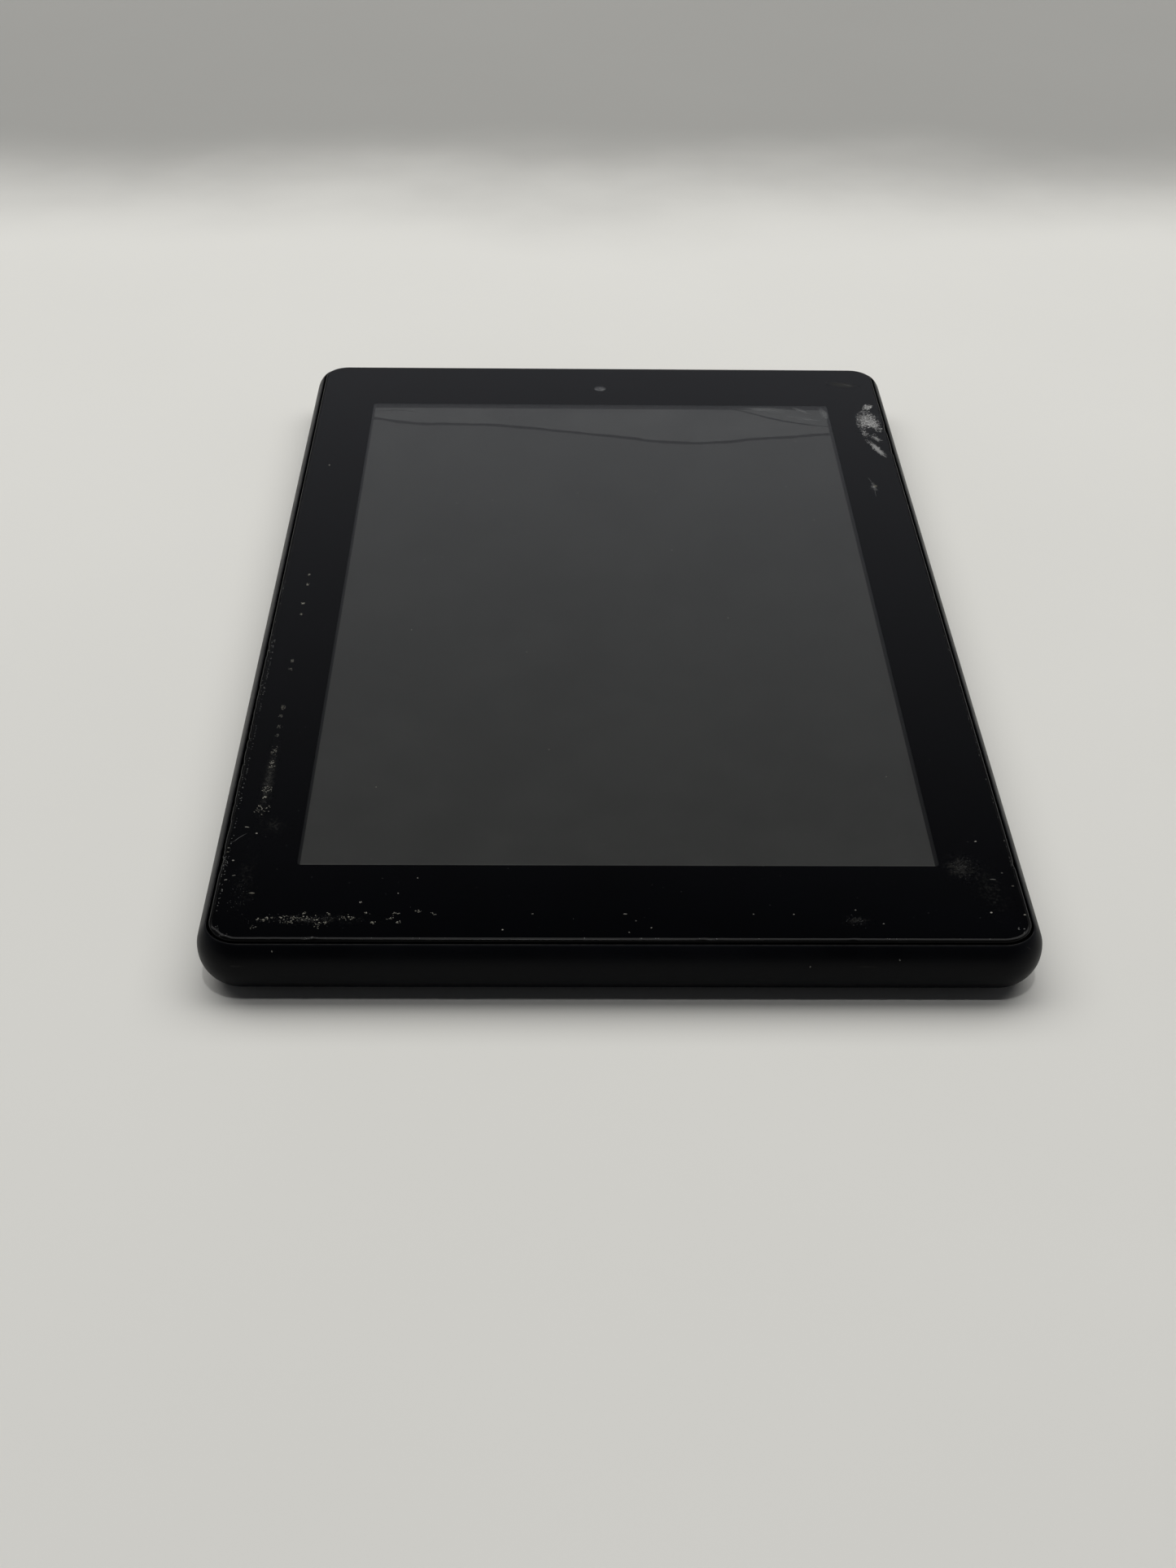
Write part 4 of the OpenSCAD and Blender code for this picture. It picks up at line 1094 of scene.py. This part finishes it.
paint("microphone_boot", boot_rubber)
soften("card_socket", 0.06)
paint("card_socket", pressed_steel)

# ---------------------------------------------------------------- main board
# A green board with tinned pads and buried copper, black resin chips, tan and cream parts, and
# pressed lids over the processor and the radio.


def board_finish():
    """Solder mask over copper runs that turn at right angles, with rows of tinned dots."""
    made, tree, place = new_material("solder_mask")
    runs = add(tree, "ShaderNodeTexVoronoi", {"Vector": place, "Scale": 420.0, "Randomness": 0.55},
               distance="CHEBYCHEV")
    lines = ramp(tree, runs.outputs["Distance"], 0.28, 0.34)
    dots = add(tree, "ShaderNodeTexVoronoi", {"Vector": place, "Scale": 260.0, "Randomness": 0.15})
    tin = ramp(tree, dots.outputs["Distance"], 0.13, 0.10)
    green = mixed(tree, lines, (0.010, 0.075, 0.030), (0.016, 0.11, 0.045))
    shown = mixed(tree, tin, green, (0.62, 0.60, 0.55))
    raised = add(tree, "ShaderNodeBump", {"Height": lines, "Distance": 0.02 * MM})
    rough = maths(tree, "MULTIPLY_ADD", tin, -0.08, 0.34)
    end_material(tree, add(tree, "ShaderNodeBsdfPrincipled", {
        "Base Color": shown, "Roughness": rough, "Normal": raised.outputs[0],
        "Metallic": maths(tree, "MULTIPLY", tin, 0.9)}))
    return made


solder_mask = board_finish()
chip_resin = finish("chip_resin", (0.020, 0.020, 0.022), (0.07, 0.07, 0.07), 0.55, size=0.12, bump=0.006,
                    cover=0.2)
ceramic = finish("ceramic_parts", (0.30, 0.22, 0.13), (0.5, 0.42, 0.3), 0.5, size=0.15, bump=0.004, vary=0.35)
cream = finish("cream_plastic", (0.66, 0.60, 0.46), (0.8, 0.76, 0.66), 0.45, size=0.3, bump=0.004, vary=0.08)
putty = finish("thermal_putty", (0.26, 0.34, 0.42), (0.35, 0.42, 0.48), 0.8, size=0.9, bump=0.05)
for node in ("main_board", "battery_board"):
    paint(node, solder_mask)
for node in ("processor_chip", "memory_chip", "storage_chip", "power_chip", "wireless_chip", "touch_chip",
             "driver_chip", "front_camera_socket"):
    soften(node, 0.08)
    paint(node, chip_resin)
for node, material, width in (("processor_shield", pressed_steel, 0.15),
                              ("wireless_shield", pressed_steel, 0.15),
                              ("thermal_pad", putty, 0.1), ("board_parts", ceramic, 0.06),
                              ("board_connectors", cream, 0.1), ("board_screws", pressed_steel, 0.1)):
    soften(node, width)
    paint(node, material)
side_switch = finish("switch_body", (0.62, 0.62, 0.62), (0.75, 0.75, 0.75), 0.4, size=0.2, bump=0.004,
                     vary=0.1)
for node in ("power_switch", "volume_switches"):
    soften(node, 0.08)
    paint(node, side_switch)

# ---------------------------------------------------------------- display stack and mid frame
# Sheets of glass and film in a white frame and a pressed tray, lit from one edge by a row of white
# lamps, all sitting in the moulded mid frame that carries the glass.
frame_plastic = finish("mid_frame", (0.022, 0.023, 0.024), (0.07, 0.07, 0.07), 0.5, size=0.3, bump=0.006)
white_plastic = finish("white_frame", (0.78, 0.78, 0.75), (0.85, 0.85, 0.84), 0.4, size=0.3, bump=0.003,
                       vary=0.04)
pearl = finish("pearl_film", (0.72, 0.74, 0.76), (0.85, 0.85, 0.86), 0.28, size=0.5, bump=0.0015, vary=0.05)
panel_glass = finish("panel_glass", (0.035, 0.042, 0.045), (0.3, 0.32, 0.32), 0.12, size=0.6, bump=0.0005,
                     cover=0.15, radius=0.1)
guide_resin = finish("light_guide", (0.62, 0.70, 0.72), (0.8, 0.85, 0.86), 0.10, size=0.35, bump=0.004,
                     vary=0.04)
lamp_yellow = finish("lamp_strip", (0.80, 0.58, 0.12), (0.9, 0.8, 0.5), 0.35, size=0.3, bump=0.004, vary=0.15)
for node, material, width in (("mid_frame", frame_plastic, 0.12), ("backlight_frame", white_plastic, 0.1),
                              ("backlight_pan", pressed_steel, 0.06), ("prism_film", pearl, 0.02),
                              ("diffuser_film", pearl, 0.02), ("light_guide", guide_resin, 0.08),
                              ("reflector_sheet", pearl, 0.02), ("led_strip", lamp_yellow, 0.04),
                              ("rear_polariser", film_materials[black_matrix], 0.02),
                              ("filter_glass", panel_glass, 0.05), ("tft_glass", panel_glass, 0.05)):
    soften(node, width)
    paint(node, material)

# ---------------------------------------------------------------- flexes and aerial
# Amber polyimide foil over copper lines, for the display, the touch layer and the aerial.


def flex_finish():
    """Amber foil with fine copper lines along it."""
    made, tree, place = new_material("amber_flex")
    lines = add(tree, "ShaderNodeTexWave", {"Vector": place, "Scale": 420.0, "Distortion": 0.4},
                wave_type="BANDS", bands_direction="X")
    copper = ramp(tree, lines.outputs["Fac"], 0.55, 0.7)
    base = mixed(tree, copper, (0.30, 0.13, 0.02), (0.58, 0.30, 0.10))
    raised = add(tree, "ShaderNodeBump", {"Height": copper, "Distance": 0.01 * MM})
    rough = maths(tree, "MULTIPLY_ADD", copper, -0.1, 0.35)
    end_material(tree, add(tree, "ShaderNodeBsdfPrincipled", {
        "Base Color": base, "Roughness": rough, "Normal": raised.outputs[0], "Coat Weight": 0.4}))
    return made


amber_flex = flex_finish()
for node in ("display_flex", "touch_flex", "wireless_antenna"):
    soften(node, 0.02)
    paint(node, amber_flex)

# ---------------------------------------------------------------- battery
# A flat pouch cell in crimped silver foil, stuck to the mid frame with tape, with its small board and
# three leads.


def foil_finish():
    """Dull silver foil with soft crumples."""
    made, tree, place = new_material("pouch_foil")
    crumple = add(tree, "ShaderNodeTexNoise", {"Vector": place, "Scale": 140.0, "Detail": 6.0,
                                               "Distortion": 0.6})
    tone = mixed(tree, crumple.outputs["Fac"], (0.36, 0.37, 0.38), (0.58, 0.59, 0.60))
    raised = add(tree, "ShaderNodeBump", {"Height": crumple.outputs["Fac"], "Distance": 0.25 * MM})
    rough = ramp(tree, crumple.outputs["Fac"], 0.3, 0.7, 0.3, 0.5)
    end_material(tree, add(tree, "ShaderNodeBsdfPrincipled", {
        "Base Color": tone, "Roughness": rough, "Normal": raised.outputs[0], "Metallic": 0.85}))
    return made


tape = finish("cell_tape", (0.62, 0.58, 0.44), (0.75, 0.72, 0.6), 0.5, size=0.6, bump=0.01, vary=0.08)
cable_skin = finish("cable_skin", (0.03, 0.03, 0.032), (0.1, 0.1, 0.1), 0.45, size=0.3, bump=0.004)
soften("battery_cell", 0.5, 4)
paint("battery_cell", foil_finish())
for node, material, width in (("battery_tape", tape, 0.02), ("battery_lead", cable_skin, 0.05),
                              ("speaker_lead", cable_skin, 0.05), ("antenna_cable", cable_skin, 0.05)):
    soften(node, width)
    paint(node, material)

# ---------------------------------------------------------------- speaker
# A closed plastic box with an oval driver that plays through the holes in the back, which a woven
# dust mesh covers from inside.


def mesh_finish():
    """Black woven mesh, drawn as two crossed rows of threads."""
    made, tree, place = new_material("dust_mesh")
    across = add(tree, "ShaderNodeTexWave", {"Vector": place, "Scale": 1500.0}, bands_direction="X")
    along = add(tree, "ShaderNodeTexWave", {"Vector": place, "Scale": 1500.0}, bands_direction="Y")
    thread = maths(tree, "MAXIMUM", across.outputs["Fac"], along.outputs["Fac"])
    base = mixed(tree, thread, (0.004, 0.004, 0.004), (0.05, 0.05, 0.052))
    raised = add(tree, "ShaderNodeBump", {"Height": thread, "Distance": 0.06 * MM})
    rough = maths(tree, "MULTIPLY_ADD", thread, -0.2, 0.7)
    end_material(tree, add(tree, "ShaderNodeBsdfPrincipled", {
        "Base Color": base, "Roughness": rough, "Normal": raised.outputs[0]}))
    return made


paint("speaker_mesh", mesh_finish())
soften("speaker_box", 0.3)
paint("speaker_box", socket_black)
soften("speaker_cone", 0.3)
paint("speaker_cone", boot_rubber)
